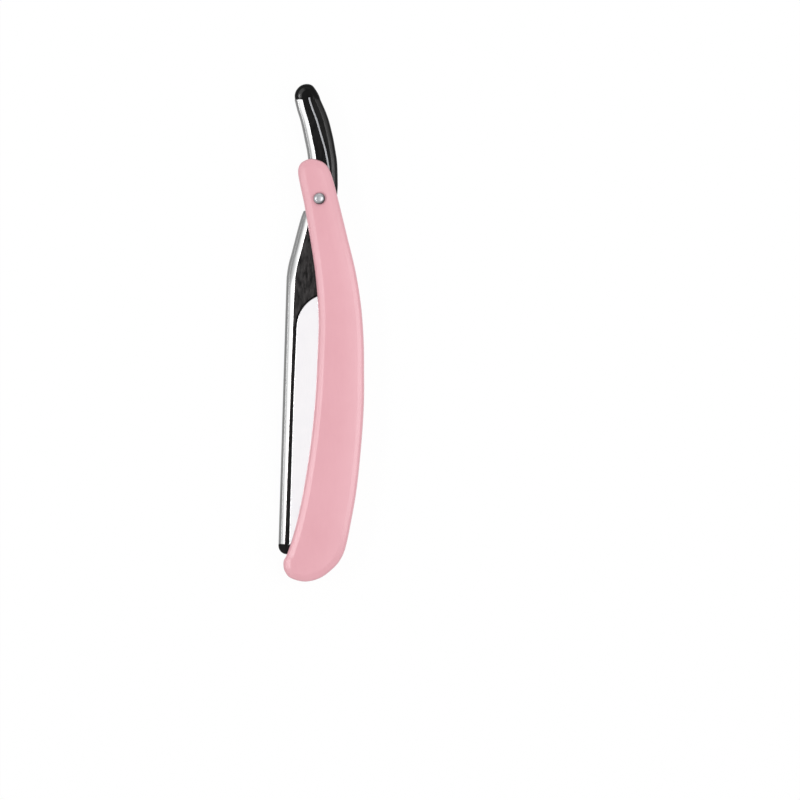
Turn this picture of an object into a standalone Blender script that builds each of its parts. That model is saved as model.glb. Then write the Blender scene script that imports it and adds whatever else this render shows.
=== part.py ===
"""Folding razor, closed: two moulded scales, a pivoting blade arm and a swing-out blade clamp.

The razor lies on its rear scale: +X points to the handle's convex back, +Y to the tail and +Z to
the front scale. Every outline is worked out from the fold pivot, and the whole razor then stands
with the middle of its box over the origin.
"""

import math

import bmesh
import bpy
from mathutils import Vector

MM = 0.001

# Clearances and overruns
FIT = 0.3 * MM            # seating and running clearance between neighbours
OVERRUN = 1.0 * MM        # how far a cutter passes the face that it cuts
SLIVER = 0.05 * MM        # an outline ends where it gets narrower than this
WELD = 0.001 * MM

# Blade and the head that holds it, measured along the head from the fold pivot
BLADE_LENGTH = 62.2 * MM
BLADE_WIDTH = 8.0 * MM
BLADE_THICKNESS = 0.25 * MM
BLADE_EXPOSURE = 1.2 * MM    # cutting edge beyond the plates
BLADE_OVERHANG = 0.35 * MM   # blade's lower end beyond the plates
BLADE_EDGE_SHARE = 0.2       # thickness left at the cutting edge
HEAD_TILT = math.radians(1.73)
HEAD_WIDTH = 16.04 * MM
SPINE_OFFSET = 8.9 * MM      # spine's back from the head's axis
NECK_LENGTH = 26.0 * MM      # pivot to the straight part of the spine
PLATE_SETBACK = 0.8 * MM     # plates' upper end below the neck
CORNER_RADIUS = 10.3 * MM    # plates' large rounded corner
PLATE_MARGIN = 2.85 * MM     # plates' straight side from the spine's back
BLADE_DROP = 1.1 * MM        # blade's upper end below the corner's centre
TIP_LENGTH = 3.3 * MM        # arm's end beyond the blade

# Stack of sheets across the head
WEB_THICKNESS = 0.9 * MM
WEB_WIDTH = 7.0 * MM
BED_THICKNESS = 0.6 * MM
CLAMP_THICKNESS = 0.5 * MM
RIVET_RADIUS = 0.9 * MM
STUD_RADIUS = 0.8 * MM
RIVET_PLACE_SHARES = (0.22, 0.5, 0.78)
RIVET_ACROSS_SHARE = 0.4
STUD_PLACE_SHARES = (0.25, 0.75)

# Hinge of the swing-out clamp
LOBE_RADIUS = 4.0 * MM
LOBE_TURN = math.radians(107)   # where the lobe leaves the rounded corner
CLAMP_PIN_RADIUS = 0.9 * MM
CLAMP_PIN_HEAD_RADIUS = 2.2 * MM
CLAMP_PIN_HEAD = 0.3 * MM
CLAMP_BUSH_WALL = 0.6 * MM

# Tail
TAIL_LENGTH = 33.5 * MM
TAIL_SWAY = 7.3 * MM         # spine's back from the pivot at the tail's end
CAP_LENGTH = 4.6 * MM
CAP_ROUNDING = 0.9 * MM
TRIM_WIDTH = 0.55 * MM
REST_END = 4.3 * MM          # finger rest's lower end above the pivot
REST_ROUNDING = 1.1 * MM

# Spine strips
STRIP_WIDTH = 2.75 * MM
STRIP_PROUD = 0.2 * MM       # strips stand out of the tang on each side
STRIP_ROUNDING = 1.2 * MM
STRIP_END_WIDTH = 1.5 * MM   # strips stop at the pivot boss where they get narrower than this

# Fold pivot
SHAFT_RADIUS = 1.0 * MM
DOME_RADIUS = 1.7 * MM
DOME_HEIGHT = 0.9 * MM
DOME_RIM = 0.15 * MM
BURR_RADIUS = 2.2 * MM
BURR_THICKNESS = 0.4 * MM
PEEN_RADIUS = 1.6 * MM
PEEN_THICKNESS = 0.3 * MM
PEEN_RECESS = 0.1 * MM
WASHER_RADIUS = 3.3 * MM
WASHER_THICKNESS = 0.4 * MM
WASHER_RECESS = 0.3 * MM
BUSH_WALL = 0.7 * MM
BOSS_WALL = 0.9 * MM         # tang around the washer recess

# Handle
HANDLE_TOP = 11.6 * MM
HANDLE_BULGE = 12.9 * MM
END_MARGIN = 7.2 * MM        # handle's end beyond the arm's end
SCALE_THICKNESS = 2.2 * MM
SCALE_ROUNDING = 1.4 * MM
SLOT_AT_PIVOT = 5.4 * MM
SLOT_AT_END = 3.9 * MM
SPACER_INSET = 0.5 * MM
DOWEL_RADIUS = 0.8 * MM
DOWEL_DEPTH = 1.2 * MM
DOWEL_RISE = 4.0 * MM        # dowels above the handle's end
DOWEL_PLACE_SHARES = (-0.43, 0.04)

# Rounded ends of the arm's tip
TIP_BACK_RADIUS = 2.6 * MM
TIP_EDGE_RADIUS = 1.5 * MM
TIP_STOP_WIDTH = 2.0 * MM    # thick part of the tip, outside the slot

# Handle outline, clockwise from its top: shares of the bulge, and of the reach below the pivot or
# the top above it
HANDLE_SHARES = (
    (-0.194, 1.0), (0.016, 0.948), (0.124, 0.875), (0.214, 0.75), (0.3, 0.5),
    (0.423, -0.003), (0.62, -0.097), (0.814, -0.191), (0.938, -0.285), (0.992, -0.374),
    (1.0, -0.455), (0.996, -0.536), (0.946, -0.63), (0.837, -0.756), (0.698, -0.85),
    (0.581, -0.913), (0.465, -0.944), (0.285, -0.968), (0.008, -0.991), (-0.326, -1.0),
    (-0.643, -0.991), (-0.775, -0.974), (-0.81, -0.958), (-0.798, -0.944), (-0.721, -0.926),
    (-0.55, -0.863), (-0.372, -0.769), (-0.202, -0.643), (-0.093, -0.518), (-0.039, -0.392),
    (-0.023, -0.307), (-0.085, -0.204), (-0.202, -0.11), (-0.341, -0.015), (-0.426, 0.302),
    (-0.481, 0.638), (-0.461, 0.81), (-0.38, 0.922),
)

# Tail, downwards: share of its length, then spine, trim and finger rest as shares of its sway
TAIL_SHARES = (
    (0.866, -1.0, -0.42, 0.03), (0.77, -0.89, -0.274, 0.226), (0.684, -0.767, -0.123, 0.37),
    (0.597, -0.671, -0.008, 0.473), (0.51, -0.589, 0.11, 0.562), (0.424, -0.507, 0.219, 0.63),
    (0.337, -0.452, 0.301, 0.692), (0.251, -0.42, 0.356, 0.715), (0.118, -0.42, 0.4, 0.726),
)

# Rounded end of the tail, from the spine to the finger rest: shares of the sway and of the length
CAP_SHARES = (
    (-1.014, 0.916), (-0.904, 0.958), (-0.74, 0.988), (-0.534, 1.0), (-0.315, 0.988),
    (-0.15, 0.943), (-0.04, 0.9),
)

# Back of the neck, downwards: shares of its setback and of its length
NECK_BACK_SHARES = (
    (-0.35, -0.03), (-0.449, 0.1), (-0.548, 0.2), (-0.651, 0.335), (-0.744, 0.469),
    (-0.837, 0.604), (-0.93, 0.735), (-0.981, 0.86),
)

# Inner side of the neck, downwards: shares of the tail's sway and of the neck's length
NECK_EDGE_SHARES = (
    (0.726, -0.15), (0.71, -0.085), (0.67, 0.0), (0.59, 0.154), (0.52, 0.346), (0.48, 0.538),
    (0.5, 0.769), (0.56, 0.96), (0.6, 1.11), (0.62, 1.27), (0.49, 1.44), (0.16, 1.58),
)

# Width of the spine strips: share of the arm's reach below the pivot, and of the full width
STRIP_WIDTH_SHARES = (
    (-0.33, 0.84), (-0.05, 0.84), (0.04, 1.0), (0.18, 0.98), (0.29, 0.89), (1.0, 0.76),
)

# Counts
CURVE_STEPS = 2
ARC_STEPS = 10
ROUND_STEPS = 24
SMALL_ROUND_STEPS = 14
ROUNDING_STEPS = 3
SHARP_ANGLE = math.radians(32)

# Finishes: 8-bit colour, roughness and metallic value
PINK = ((232, 173, 180), 0.42, 0.0)
BLACK = ((28, 28, 30), 0.32, 0.0)
POLISHED_STEEL = ((206, 208, 212), 0.18, 1.0)
PLATE_STEEL = ((238, 238, 240), 0.14, 1.0)
GROUND_STEEL = ((186, 189, 194), 0.3, 1.0)
BRASS = ((196, 160, 92), 0.35, 1.0)
NYLON = ((222, 220, 212), 0.5, 0.0)

# Places along and across the head
CORNER_ALONG = NECK_LENGTH + PLATE_SETBACK + CORNER_RADIUS
BLADE_TOP = CORNER_ALONG + BLADE_DROP
BLADE_END = BLADE_TOP + BLADE_LENGTH
PLATE_END = BLADE_END - BLADE_OVERHANG
TIP_TOP = PLATE_END + FIT
WEB_END = TIP_TOP - FIT
HEAD_REACH = BLADE_END + TIP_LENGTH
EDGE_ACROSS = HEAD_WIDTH - SPINE_OFFSET
PLATE_RIGHT = EDGE_ACROSS - BLADE_EXPOSURE
PLATE_LEFT = PLATE_MARGIN - SPINE_OFFSET
BLADE_BACK = EDGE_ACROSS - BLADE_WIDTH
WEB_RIGHT = PLATE_LEFT + WEB_WIDTH
CORNER_ACROSS = PLATE_LEFT + CORNER_RADIUS
PIN_ACROSS = CORNER_ACROSS + (CORNER_RADIUS - LOBE_RADIUS) * math.cos(LOBE_TURN)
PIN_ALONG = CORNER_ALONG - (CORNER_RADIUS - LOBE_RADIUS) * math.sin(LOBE_TURN)

# Heights across the closed razor
HANDLE_DEPTH = SLOT_AT_PIVOT + 2 * SCALE_THICKNESS
MID = HANDLE_DEPTH / 2
TANG_HALF = SLOT_AT_PIVOT / 2 - (WASHER_THICKNESS + 2 * FIT - WASHER_RECESS)
STRIP_HALF = TANG_HALF + STRIP_PROUD
STACK_HALF = (WEB_THICKNESS + BED_THICKNESS + BLADE_THICKNESS + CLAMP_THICKNESS + 3 * FIT) / 2
WEB_REAR = MID - STACK_HALF
WEB_FRONT = WEB_REAR + WEB_THICKNESS
BED_REAR = WEB_FRONT + FIT
BED_FRONT = BED_REAR + BED_THICKNESS
BLADE_REAR = BED_FRONT + FIT
BLADE_FRONT = BLADE_REAR + BLADE_THICKNESS
CLAMP_REAR = BLADE_FRONT + FIT
CLAMP_FRONT = CLAMP_REAR + CLAMP_THICKNESS

# Radii around the fold pivot
BUSH_BORE = SHAFT_RADIUS + FIT
BUSH_RADIUS = BUSH_BORE + BUSH_WALL
RECESS_RADIUS = WASHER_RADIUS + FIT
BOSS_RADIUS = RECESS_RADIUS + BOSS_WALL
STRIP_CLEARANCE = BOSS_RADIUS + FIT
HANDLE_REACH = HEAD_REACH + END_MARGIN


def slot_half(y):
    """Half of the gap between the scales, which narrows towards the handle's end."""
    return (SLOT_AT_PIVOT + (SLOT_AT_PIVOT - SLOT_AT_END) * y / HEAD_REACH) / 2


def smooth(points, closed=False):
    """Points on a Catmull-Rom curve through the given ones."""
    count = len(points)
    spans = count if closed else count - 1
    path = []
    for index in range(spans):
        if closed:
            four = [Vector(points[(index + shift) % count]) for shift in (-1, 0, 1, 2)]
        else:
            four = [Vector(points[min(max(index + shift, 0), count - 1)]) for shift in (-1, 0, 1, 2)]
        before, start, end, after = four
        for step in range(CURVE_STEPS):
            t = step / CURVE_STEPS
            place = 2 * start + (end - before) * t
            place += (2 * before - 5 * start + 4 * end - after) * t ** 2
            place += (3 * start - before - 3 * end + after) * t ** 3
            path.append(tuple(place / 2))
    if not closed:
        path.append(tuple(points[-1]))
    return path


def x_at(line, y):
    """The x of a line that runs downwards, at the given y."""
    for (x_0, y_0), (x_1, y_1) in zip(line, line[1:]):
        if y_1 <= y <= y_0:
            return x_0 + (x_1 - x_0) * (y_0 - y) / (y_0 - y_1)
    return line[0][0] if y > line[0][1] else line[-1][0]


def head_point(along, across):
    """A place on the head, along its axis from the pivot and across it towards the edge."""
    cosine = math.cos(HEAD_TILT)
    sine = math.sin(HEAD_TILT)
    return (across * cosine - along * sine, -along * cosine - across * sine)


def head_arc(along, across, radius, start, end):
    """Points on an arc on the head: zero points to the edge and a quarter turn to the pivot."""
    points = []
    for step in range(ARC_STEPS + 1):
        turn = start + (end - start) * step / ARC_STEPS
        points.append(head_point(along - radius * math.sin(turn), across + radius * math.cos(turn)))
    return points


def circle(centre, radius, count):
    """Points of a full circle."""
    turns = [2 * math.pi * step / count for step in range(count)]
    return [(centre[0] + radius * math.cos(turn), centre[1] + radius * math.sin(turn)) for turn in turns]


def spread(start, end, count):
    """Evenly spaced values from start to end."""
    return [start + (end - start) * step / count for step in range(count + 1)]


def band(left, right, stations, narrowest=SLIVER):
    """Closed outline between two edges, each an x worked out from y, down one and up the other."""
    rows = [y for y in stations if right(y) - left(y) > narrowest]
    return [(left(y), y) for y in rows] + [(right(y), y) for y in reversed(rows)]


def handle_outline():
    """Outline shared by both scales."""
    points = []
    for x_share, y_share in HANDLE_SHARES:
        rise = HANDLE_TOP if y_share > 0 else HANDLE_REACH
        points.append((x_share * HANDLE_BULGE, y_share * rise))
    return smooth(points, closed=True)


def tail_line(column):
    """One line of the tail, from its end down to the pivot."""
    return smooth([(row[column] * TAIL_SWAY, row[0] * TAIL_LENGTH) for row in TAIL_SHARES])


def spine_line():
    """The spine's back, from the tail's end down to the arm's end."""
    elbow = head_point(NECK_LENGTH, -SPINE_OFFSET)
    points = [(row[1] * TAIL_SWAY, row[0] * TAIL_LENGTH) for row in TAIL_SHARES]
    points += [(-share * elbow[0], drop * elbow[1]) for share, drop in NECK_BACK_SHARES]
    points.append(elbow)
    middle = (NECK_LENGTH + HEAD_REACH) / 2
    points.append(head_point(middle, -SPINE_OFFSET))
    return smooth(points) + [head_point(HEAD_REACH, -SPINE_OFFSET)]


def neck_edge_line():
    """The neck's inner side, from the finger rest down to the web beside the blade."""
    points = [(share * TAIL_SWAY, -drop * NECK_LENGTH) for share, drop in NECK_EDGE_SHARES]
    line = smooth(points)
    start = max(-line[-1][1] + WEB_WIDTH / 2, 0)
    return line + [head_point(start, WEB_RIGHT), head_point(WEB_END, WEB_RIGHT)]


def strip_width(y):
    """Width of the spine strip at a height."""
    line = [(share, -drop) for drop, share in STRIP_WIDTH_SHARES]
    return x_at(line, y / HEAD_REACH) * STRIP_WIDTH


SPINE = spine_line()
TRIM = tail_line(2)
GRIP = tail_line(3)
NECK_EDGE = neck_edge_line()
HANDLE = handle_outline()


def boss_edge(y, radius):
    """Left side of a circle about the pivot, or nothing to the left of it elsewhere."""
    return -math.sqrt(radius ** 2 - y ** 2) if abs(y) < radius else math.inf


def spine_x(y):
    """Back of the spine at a height."""
    return x_at(SPINE, y)


def strip_inner_x(y):
    """Inner side of the spine strips, which stop clear of the pivot boss."""
    return min(spine_x(y) + strip_width(y), boss_edge(y, STRIP_CLEARANCE))


def body_left_x(y):
    """Back of the moulded tang, which seats the strips and bulges round the pivot."""
    return min(spine_x(y) + strip_width(y) + FIT, boss_edge(y, BOSS_RADIUS))


def plate_outline(inset):
    """Outline of a blade plate: rounded corner, hinge lobe and straight sides."""
    points = head_arc(CORNER_ALONG, CORNER_ACROSS, CORNER_RADIUS - inset, math.pi, LOBE_TURN)
    points += head_arc(PIN_ALONG, PIN_ACROSS, LOBE_RADIUS - inset, LOBE_TURN, 0)[1:]
    points.append(head_point(CORNER_ALONG, PLATE_RIGHT))
    points.append(head_point(PLATE_END, PLATE_RIGHT))
    points.append(head_point(PLATE_END, PLATE_LEFT + inset))
    return points


def pocket_outline():
    """Everything past the neck that lies in front of the web, with room for the clamp to swing."""
    far = HEAD_WIDTH + OVERRUN
    points = [head_point(HEAD_REACH, far), head_point(HEAD_REACH, -far), head_point(CORNER_ALONG, -far)]
    points += head_arc(CORNER_ALONG, CORNER_ACROSS, CORNER_RADIUS + FIT, math.pi, LOBE_TURN)
    points += head_arc(PIN_ALONG, PIN_ACROSS, LOBE_RADIUS + FIT, LOBE_TURN, 0)[1:]
    points.append(head_point(PIN_ALONG, far))
    return points


def tip_outline():
    """Outline of the arm's end piece; its top lets the clamp's corner swing past."""
    corner_reach = math.hypot(PLATE_END - PIN_ALONG, PLATE_LEFT - PIN_ACROSS) + FIT
    points = []
    for across in spread(-SPINE_OFFSET, PLATE_RIGHT, ARC_STEPS):
        swing = PIN_ALONG + math.sqrt(corner_reach ** 2 - (across - PIN_ACROSS) ** 2)
        points.append(head_point(max(TIP_TOP, swing), across))
    edge = PLATE_RIGHT - TIP_EDGE_RADIUS
    back = TIP_BACK_RADIUS - SPINE_OFFSET
    points += head_arc(HEAD_REACH - TIP_EDGE_RADIUS, edge, TIP_EDGE_RADIUS, 0, -math.pi / 2)
    points += head_arc(HEAD_REACH - TIP_BACK_RADIUS, back, TIP_BACK_RADIUS, -math.pi / 2, -math.pi)
    return points


def cap_outline():
    """Outline of the rounded cap on the tail's end."""
    base = TAIL_LENGTH - CAP_LENGTH
    points = [(spine_x(base), base)]
    points += [(x_share * TAIL_SWAY, y_share * TAIL_LENGTH) for x_share, y_share in CAP_SHARES]
    points.append((x_at(GRIP, base), base))
    return smooth(points)


TIP = tip_outline()
CAP = cap_outline()
PIVOT = Vector((
    -(max(x for x, y in HANDLE) + min(x for x, y in TIP)) / 2,
    -(max(y for x, y in CAP) + min(y for x, y in HANDLE)) / 2,
    0,
))


def clear_scene():
    """Remove what the scene holds."""
    for item in list(bpy.data.objects):
        bpy.data.objects.remove(item, do_unlink=True)


def collection(name):
    """A new collection in the scene."""
    group = bpy.data.collections.new(name)
    bpy.context.scene.collection.children.link(group)
    return group


clear_scene()
RAZOR = collection("folding_razor")
CUTTERS = collection("cutters")


def frame_empty(name, place, parent=None):
    """An empty that carries the pieces that turn together about it."""
    empty = bpy.data.objects.new(name, None)
    empty.location = place
    empty.parent = parent
    empty.empty_display_size = SHAFT_RADIUS
    RAZOR.objects.link(empty)
    return empty


HANDLE_FRAME = frame_empty("handle_frame", PIVOT)
FOLD_AXIS = frame_empty("fold_axis", PIVOT)
CLAMP_PLACE = Vector((*head_point(PIN_ALONG, PIN_ACROSS), 0))
CLAMP_AXIS = frame_empty("clamp_axis", CLAMP_PLACE, FOLD_AXIS)


def linear(level):
    """Scene-linear value of an 8-bit colour level."""
    share = level / 255
    return share / 12.92 if share <= 0.04045 else ((share + 0.055) / 1.055) ** 2.4


def finish(piece, look):
    """Give a piece its own material and smooth shading between sharp edges."""
    colour, roughness, metallic = look
    material = bpy.data.materials.new(piece.name)
    material.use_nodes = True
    shader = material.node_tree.nodes["Principled BSDF"]
    shader.inputs["Base Color"].default_value = (*(linear(level) for level in colour), 1)
    shader.inputs["Roughness"].default_value = roughness
    shader.inputs["Metallic"].default_value = metallic
    piece.data.materials.append(material)
    piece.data.shade_smooth()
    piece.data.set_sharp_from_angle(angle=SHARP_ANGLE)


def place(piece, carrier):
    """Put a piece, modelled from the fold pivot, in the care of an empty."""
    piece.parent = carrier
    piece.location = -CLAMP_PLACE if carrier is CLAMP_AXIS else Vector()


def flat_mesh(name, loops, rear, front):
    """Closed mesh of a flat outline, with holes, between two heights."""
    curve = bpy.data.curves.new(name, "CURVE")
    curve.dimensions = "2D"
    curve.fill_mode = "BOTH"
    curve.extrude = (front - rear) / 2
    for loop in loops:
        spline = curve.splines.new("POLY")
        spline.points.add(len(loop) - 1)
        spline.use_cyclic_u = True
        for point, (x, y) in zip(spline.points, loop):
            point.co = (x, y, 0, 1)
    holder = bpy.data.objects.new(name, curve)
    RAZOR.objects.link(holder)
    graph = bpy.context.evaluated_depsgraph_get()
    mesh = bpy.data.meshes.new_from_object(holder.evaluated_get(graph))
    bpy.data.objects.remove(holder)
    bpy.data.curves.remove(curve)
    work = bmesh.new()
    work.from_mesh(mesh)
    bmesh.ops.remove_doubles(work, verts=work.verts, dist=WELD)
    bmesh.ops.translate(work, verts=work.verts, vec=(0, 0, (front + rear) / 2))
    bmesh.ops.recalc_face_normals(work, faces=work.faces)
    work.to_mesh(mesh)
    work.free()
    mesh.name = name
    return mesh


def sheet(name, loops, rear, front, carrier, look):
    """A flat piece cut to an outline, with holes."""
    piece = bpy.data.objects.new(name, flat_mesh(name, loops, rear, front))
    RAZOR.objects.link(piece)
    place(piece, carrier)
    finish(piece, look)
    return piece


def taper(piece, rear, front):
    """Slope a sheet's faces: heights worked out from y."""
    middle = sum(vertex.co.z for vertex in piece.data.vertices) / len(piece.data.vertices)
    for vertex in piece.data.vertices:
        height = rear if vertex.co.z < middle else front
        vertex.co.z = height(vertex.co.y)


def round_rims(piece, width, choose):
    """Round the chosen edges between a sheet's faces and its sides."""
    work = bmesh.new()
    work.from_mesh(piece.data)
    flat = math.radians(1)
    bmesh.ops.dissolve_limit(work, angle_limit=flat, verts=work.verts, edges=work.edges)
    rims = []
    for edge in work.edges:
        faces = edge.link_faces
        steep = [abs(face.normal.z) < math.sin(math.pi / 4) for face in faces]
        if len(faces) == 2 and steep[0] != steep[1]:
            if choose((edge.verts[0].co + edge.verts[1].co) / 2):
                rims.append(edge)
    bmesh.ops.bevel(
        work, geom=rims, offset=width, offset_type="OFFSET", segments=ROUNDING_STEPS,
        profile=0.5, affect="EDGES", clamp_overlap=True,
    )
    work.to_mesh(piece.data)
    work.free()
    piece.data.shade_smooth()
    piece.data.set_sharp_from_angle(angle=SHARP_ANGLE)


def turned_mesh(name, profile, closed):
    """Profile edges on +X, as (radius, height), listed down the outer side."""
    mesh = bpy.data.meshes.new(name)
    count = len(profile)
    edges = [(index, index + 1) for index in range(count - 1)]
    if closed:
        edges.append((count - 1, 0))
    mesh.from_pydata([(radius, 0, height) for radius, height in profile], edges, [])
    return mesh


def turned(name, profile, centre, steps, carrier, look, closed=False):
    """A turned piece standing at a centre."""
    piece = bpy.data.objects.new(name, turned_mesh(name, profile, closed))
    RAZOR.objects.link(piece)
    place(piece, carrier)
    piece.location += Vector((centre[0], centre[1], 0))
    screw = piece.modifiers.new("turn", "SCREW")
    screw.steps = steps
    screw.render_steps = steps
    screw.use_merge_vertices = True
    screw.merge_threshold = WELD
    screw.use_smooth_shade = True
    finish(piece, look)
    return piece


def ring_profile(inner, outer, rear, front):
    """Closed profile of a plain ring."""
    return [(outer, front), (outer, rear), (inner, rear), (inner, front)]


def cutter(name, loops, rear, front):
    """A hidden flat cutter that shares the pieces' frame."""
    piece = bpy.data.objects.new(name, flat_mesh(name, loops, rear, front))
    CUTTERS.objects.link(piece)
    piece.location = PIVOT
    piece.hide_render = True
    piece.display_type = "WIRE"
    return piece


def carve(piece, tool):
    """Take a cutter's shape out of a piece."""
    cut = piece.modifiers.new(tool.name, "BOOLEAN")
    cut.operation = "DIFFERENCE"
    cut.solver = "EXACT"
    cut.object = tool


def head_circle(along, across, radius, count=SMALL_ROUND_STEPS):
    """A circle on the head."""
    return circle(head_point(along, across), radius, count)


def rivet_places():
    """Where the bed plate is riveted to the web."""
    across = PLATE_LEFT + RIVET_ACROSS_SHARE * WEB_WIDTH
    return [(BLADE_TOP + share * BLADE_LENGTH, across) for share in RIVET_PLACE_SHARES]


def stud_places():
    """Where studs locate the blade's back."""
    return [(BLADE_TOP + share * BLADE_LENGTH, BLADE_BACK) for share in STUD_PLACE_SHARES]


def dowel_places():
    """Where dowels join the scales through the spacer."""
    return [(share * HANDLE_BULGE, DOWEL_RISE - HANDLE_REACH) for share in DOWEL_PLACE_SHARES]


def spacer_outline():
    """The handle's end, inset, below the sweep of the arm's end."""
    reach = max(math.hypot(x, y) for x, y in TIP) + 2 * FIT
    inner = []
    count = len(HANDLE)
    for index, (x, y) in enumerate(HANDLE):
        before = Vector(HANDLE[index - 1])
        after = Vector(HANDLE[(index + 1) % count])
        along = (after - before).normalized()
        spot = Vector((x, y)) + Vector((along.y, -along.x)) * SPACER_INSET
        if spot.y < 0 and spot.length > reach:
            inner.append(tuple(spot))
    start = math.atan2(inner[-1][1], inner[-1][0])
    end = math.atan2(inner[0][1], inner[0][0])
    sweep = spread(start, end, ARC_STEPS)
    return inner + [(reach * math.cos(turn), reach * math.sin(turn)) for turn in sweep]


def build_scales():
    """The two moulded scales, thicker where the slot between them narrows."""
    bore = circle((0, 0), SHAFT_RADIUS + FIT, ROUND_STEPS)
    hole = cutter("pivot_hole", [bore], -OVERRUN, HANDLE_DEPTH + OVERRUN)
    depth = PEEN_RECESS + PEEN_THICKNESS + BURR_THICKNESS + 2 * FIT
    seat = cutter("burr_seat", [circle((0, 0), BURR_RADIUS + FIT, ROUND_STEPS)], -OVERRUN, depth)
    end_half = slot_half(DOWEL_RISE - HANDLE_REACH) + DOWEL_DEPTH + FIT
    sockets = [circle(spot, DOWEL_RADIUS + FIT, SMALL_ROUND_STEPS) for spot in dowel_places()]
    socket = cutter("dowel_sockets", sockets, MID - end_half, MID + end_half)

    rear = sheet("rear_scale", [HANDLE], 0, SCALE_THICKNESS, HANDLE_FRAME, PINK)
    taper(rear, lambda y: 0, lambda y: MID - slot_half(y))
    round_rims(rear, SCALE_ROUNDING, lambda spot: spot.z < SCALE_THICKNESS / 2)
    for tool in (hole, seat, socket):
        carve(rear, tool)

    front = sheet("front_scale", [HANDLE], MID, HANDLE_DEPTH, HANDLE_FRAME, PINK)
    taper(front, lambda y: MID + slot_half(y), lambda y: HANDLE_DEPTH)
    round_rims(front, SCALE_ROUNDING, lambda spot: spot.z > HANDLE_DEPTH - SCALE_THICKNESS / 2)
    for tool in (hole, socket):
        carve(front, tool)


def build_handle_end():
    """Spacer and dowels that join the scales at the handle's end."""
    holes = [circle(spot, DOWEL_RADIUS + FIT, SMALL_ROUND_STEPS) for spot in dowel_places()]
    spacer = sheet("end_spacer", [spacer_outline(), *holes], MID, HANDLE_DEPTH, HANDLE_FRAME, PINK)
    taper(spacer, lambda y: MID - slot_half(y) + FIT, lambda y: MID + slot_half(y) - FIT)
    half = slot_half(DOWEL_RISE - HANDLE_REACH) + DOWEL_DEPTH
    for number, spot in enumerate(dowel_places(), 1):
        dowel = circle(spot, DOWEL_RADIUS, SMALL_ROUND_STEPS)
        sheet(f"scale_dowel_{number}", [dowel], MID - half, MID + half, HANDLE_FRAME, GROUND_STEEL)


def build_pivot():
    """Rivet, burr, thrust washers and the tang's bush."""
    seat = HANDLE_DEPTH + FIT
    peen = PEEN_RECESS + PEEN_THICKNESS
    profile = []
    for turn in spread(math.pi / 2, 0, ROUNDING_STEPS + 1):
        height = seat + DOME_RIM + (DOME_HEIGHT - DOME_RIM) * math.sin(turn)
        profile.append((DOME_RADIUS * math.cos(turn), height))
    profile[0] = (0, seat + DOME_HEIGHT)
    profile += [(DOME_RADIUS, seat), (SHAFT_RADIUS, seat), (SHAFT_RADIUS, peen)]
    profile += [(PEEN_RADIUS, peen), (PEEN_RADIUS, PEEN_RECESS), (0, PEEN_RECESS)]
    turned("pivot_rivet", profile, (0, 0), ROUND_STEPS, HANDLE_FRAME, POLISHED_STEEL)

    burr = ring_profile(BUSH_BORE, BURR_RADIUS, peen + FIT, peen + FIT + BURR_THICKNESS)
    turned("rivet_burr", burr, (0, 0), ROUND_STEPS, HANDLE_FRAME, GROUND_STEEL, closed=True)

    floor = TANG_HALF - WASHER_RECESS
    near = floor + FIT
    far = near + WASHER_THICKNESS
    front = ring_profile(BUSH_BORE, WASHER_RADIUS, MID + near, MID + far)
    turned("front_washer", front, (0, 0), ROUND_STEPS, HANDLE_FRAME, NYLON, closed=True)
    rear = ring_profile(BUSH_BORE, WASHER_RADIUS, MID - far, MID - near)
    turned("rear_washer", rear, (0, 0), ROUND_STEPS, HANDLE_FRAME, NYLON, closed=True)

    bush = ring_profile(BUSH_BORE, BUSH_RADIUS, MID - floor, MID + floor)
    turned("pivot_bush", bush, (0, 0), ROUND_STEPS, FOLD_AXIS, BRASS, closed=True)


def body_outline():
    """The moulded tang: tail, pivot boss, neck and the web under the plates."""
    top = TAIL_LENGTH - CAP_LENGTH - FIT
    shoulder = REST_END - FIT
    bottom = head_point(WEB_END, PLATE_LEFT)[1]
    stations = spread(top, BOSS_RADIUS, ARC_STEPS)
    stations += spread(BOSS_RADIUS, -BOSS_RADIUS, 2 * ARC_STEPS)[1:]
    stations += spread(-BOSS_RADIUS, -NECK_LENGTH, ARC_STEPS)[1:]
    stations += spread(-NECK_LENGTH, bottom, ROUNDING_STEPS)[1:]
    left = [(body_left_x(y), y) for y in stations]
    right = [point for point in reversed(NECK_EDGE) if point[1] < shoulder]
    inset = TRIM_WIDTH / 2 + FIT
    right.append((x_at(NECK_EDGE, shoulder), shoulder))
    right += [(x_at(TRIM, y) - inset, y) for y in spread(shoulder, top, ARC_STEPS)]
    return left + right


def build_tang():
    """The moulded tang, stepped down to a web along the head and recessed at the pivot."""
    bore = circle((0, 0), BUSH_RADIUS + FIT, ROUND_STEPS)
    pin = head_circle(PIN_ALONG, PIN_ACROSS, CLAMP_PIN_RADIUS + FIT)
    holes = [head_circle(*spot, RIVET_RADIUS + FIT) for spot in rivet_places()]
    loops = [body_outline(), bore, pin, *holes]
    body = sheet("tang_body", loops, MID - TANG_HALF, MID + TANG_HALF, FOLD_AXIS, BLACK)
    above = MID + TANG_HALF + OVERRUN
    below = MID - TANG_HALF - OVERRUN
    recess = circle((0, 0), RECESS_RADIUS, ROUND_STEPS)
    floor = TANG_HALF - WASHER_RECESS
    carve(body, cutter("front_pocket", [pocket_outline()], WEB_FRONT, above))
    carve(body, cutter("rear_step", [pocket_outline()], below, WEB_REAR))
    carve(body, cutter("front_recess", [recess], MID + floor, above))
    carve(body, cutter("rear_recess", [recess], below, MID - floor))


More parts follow.
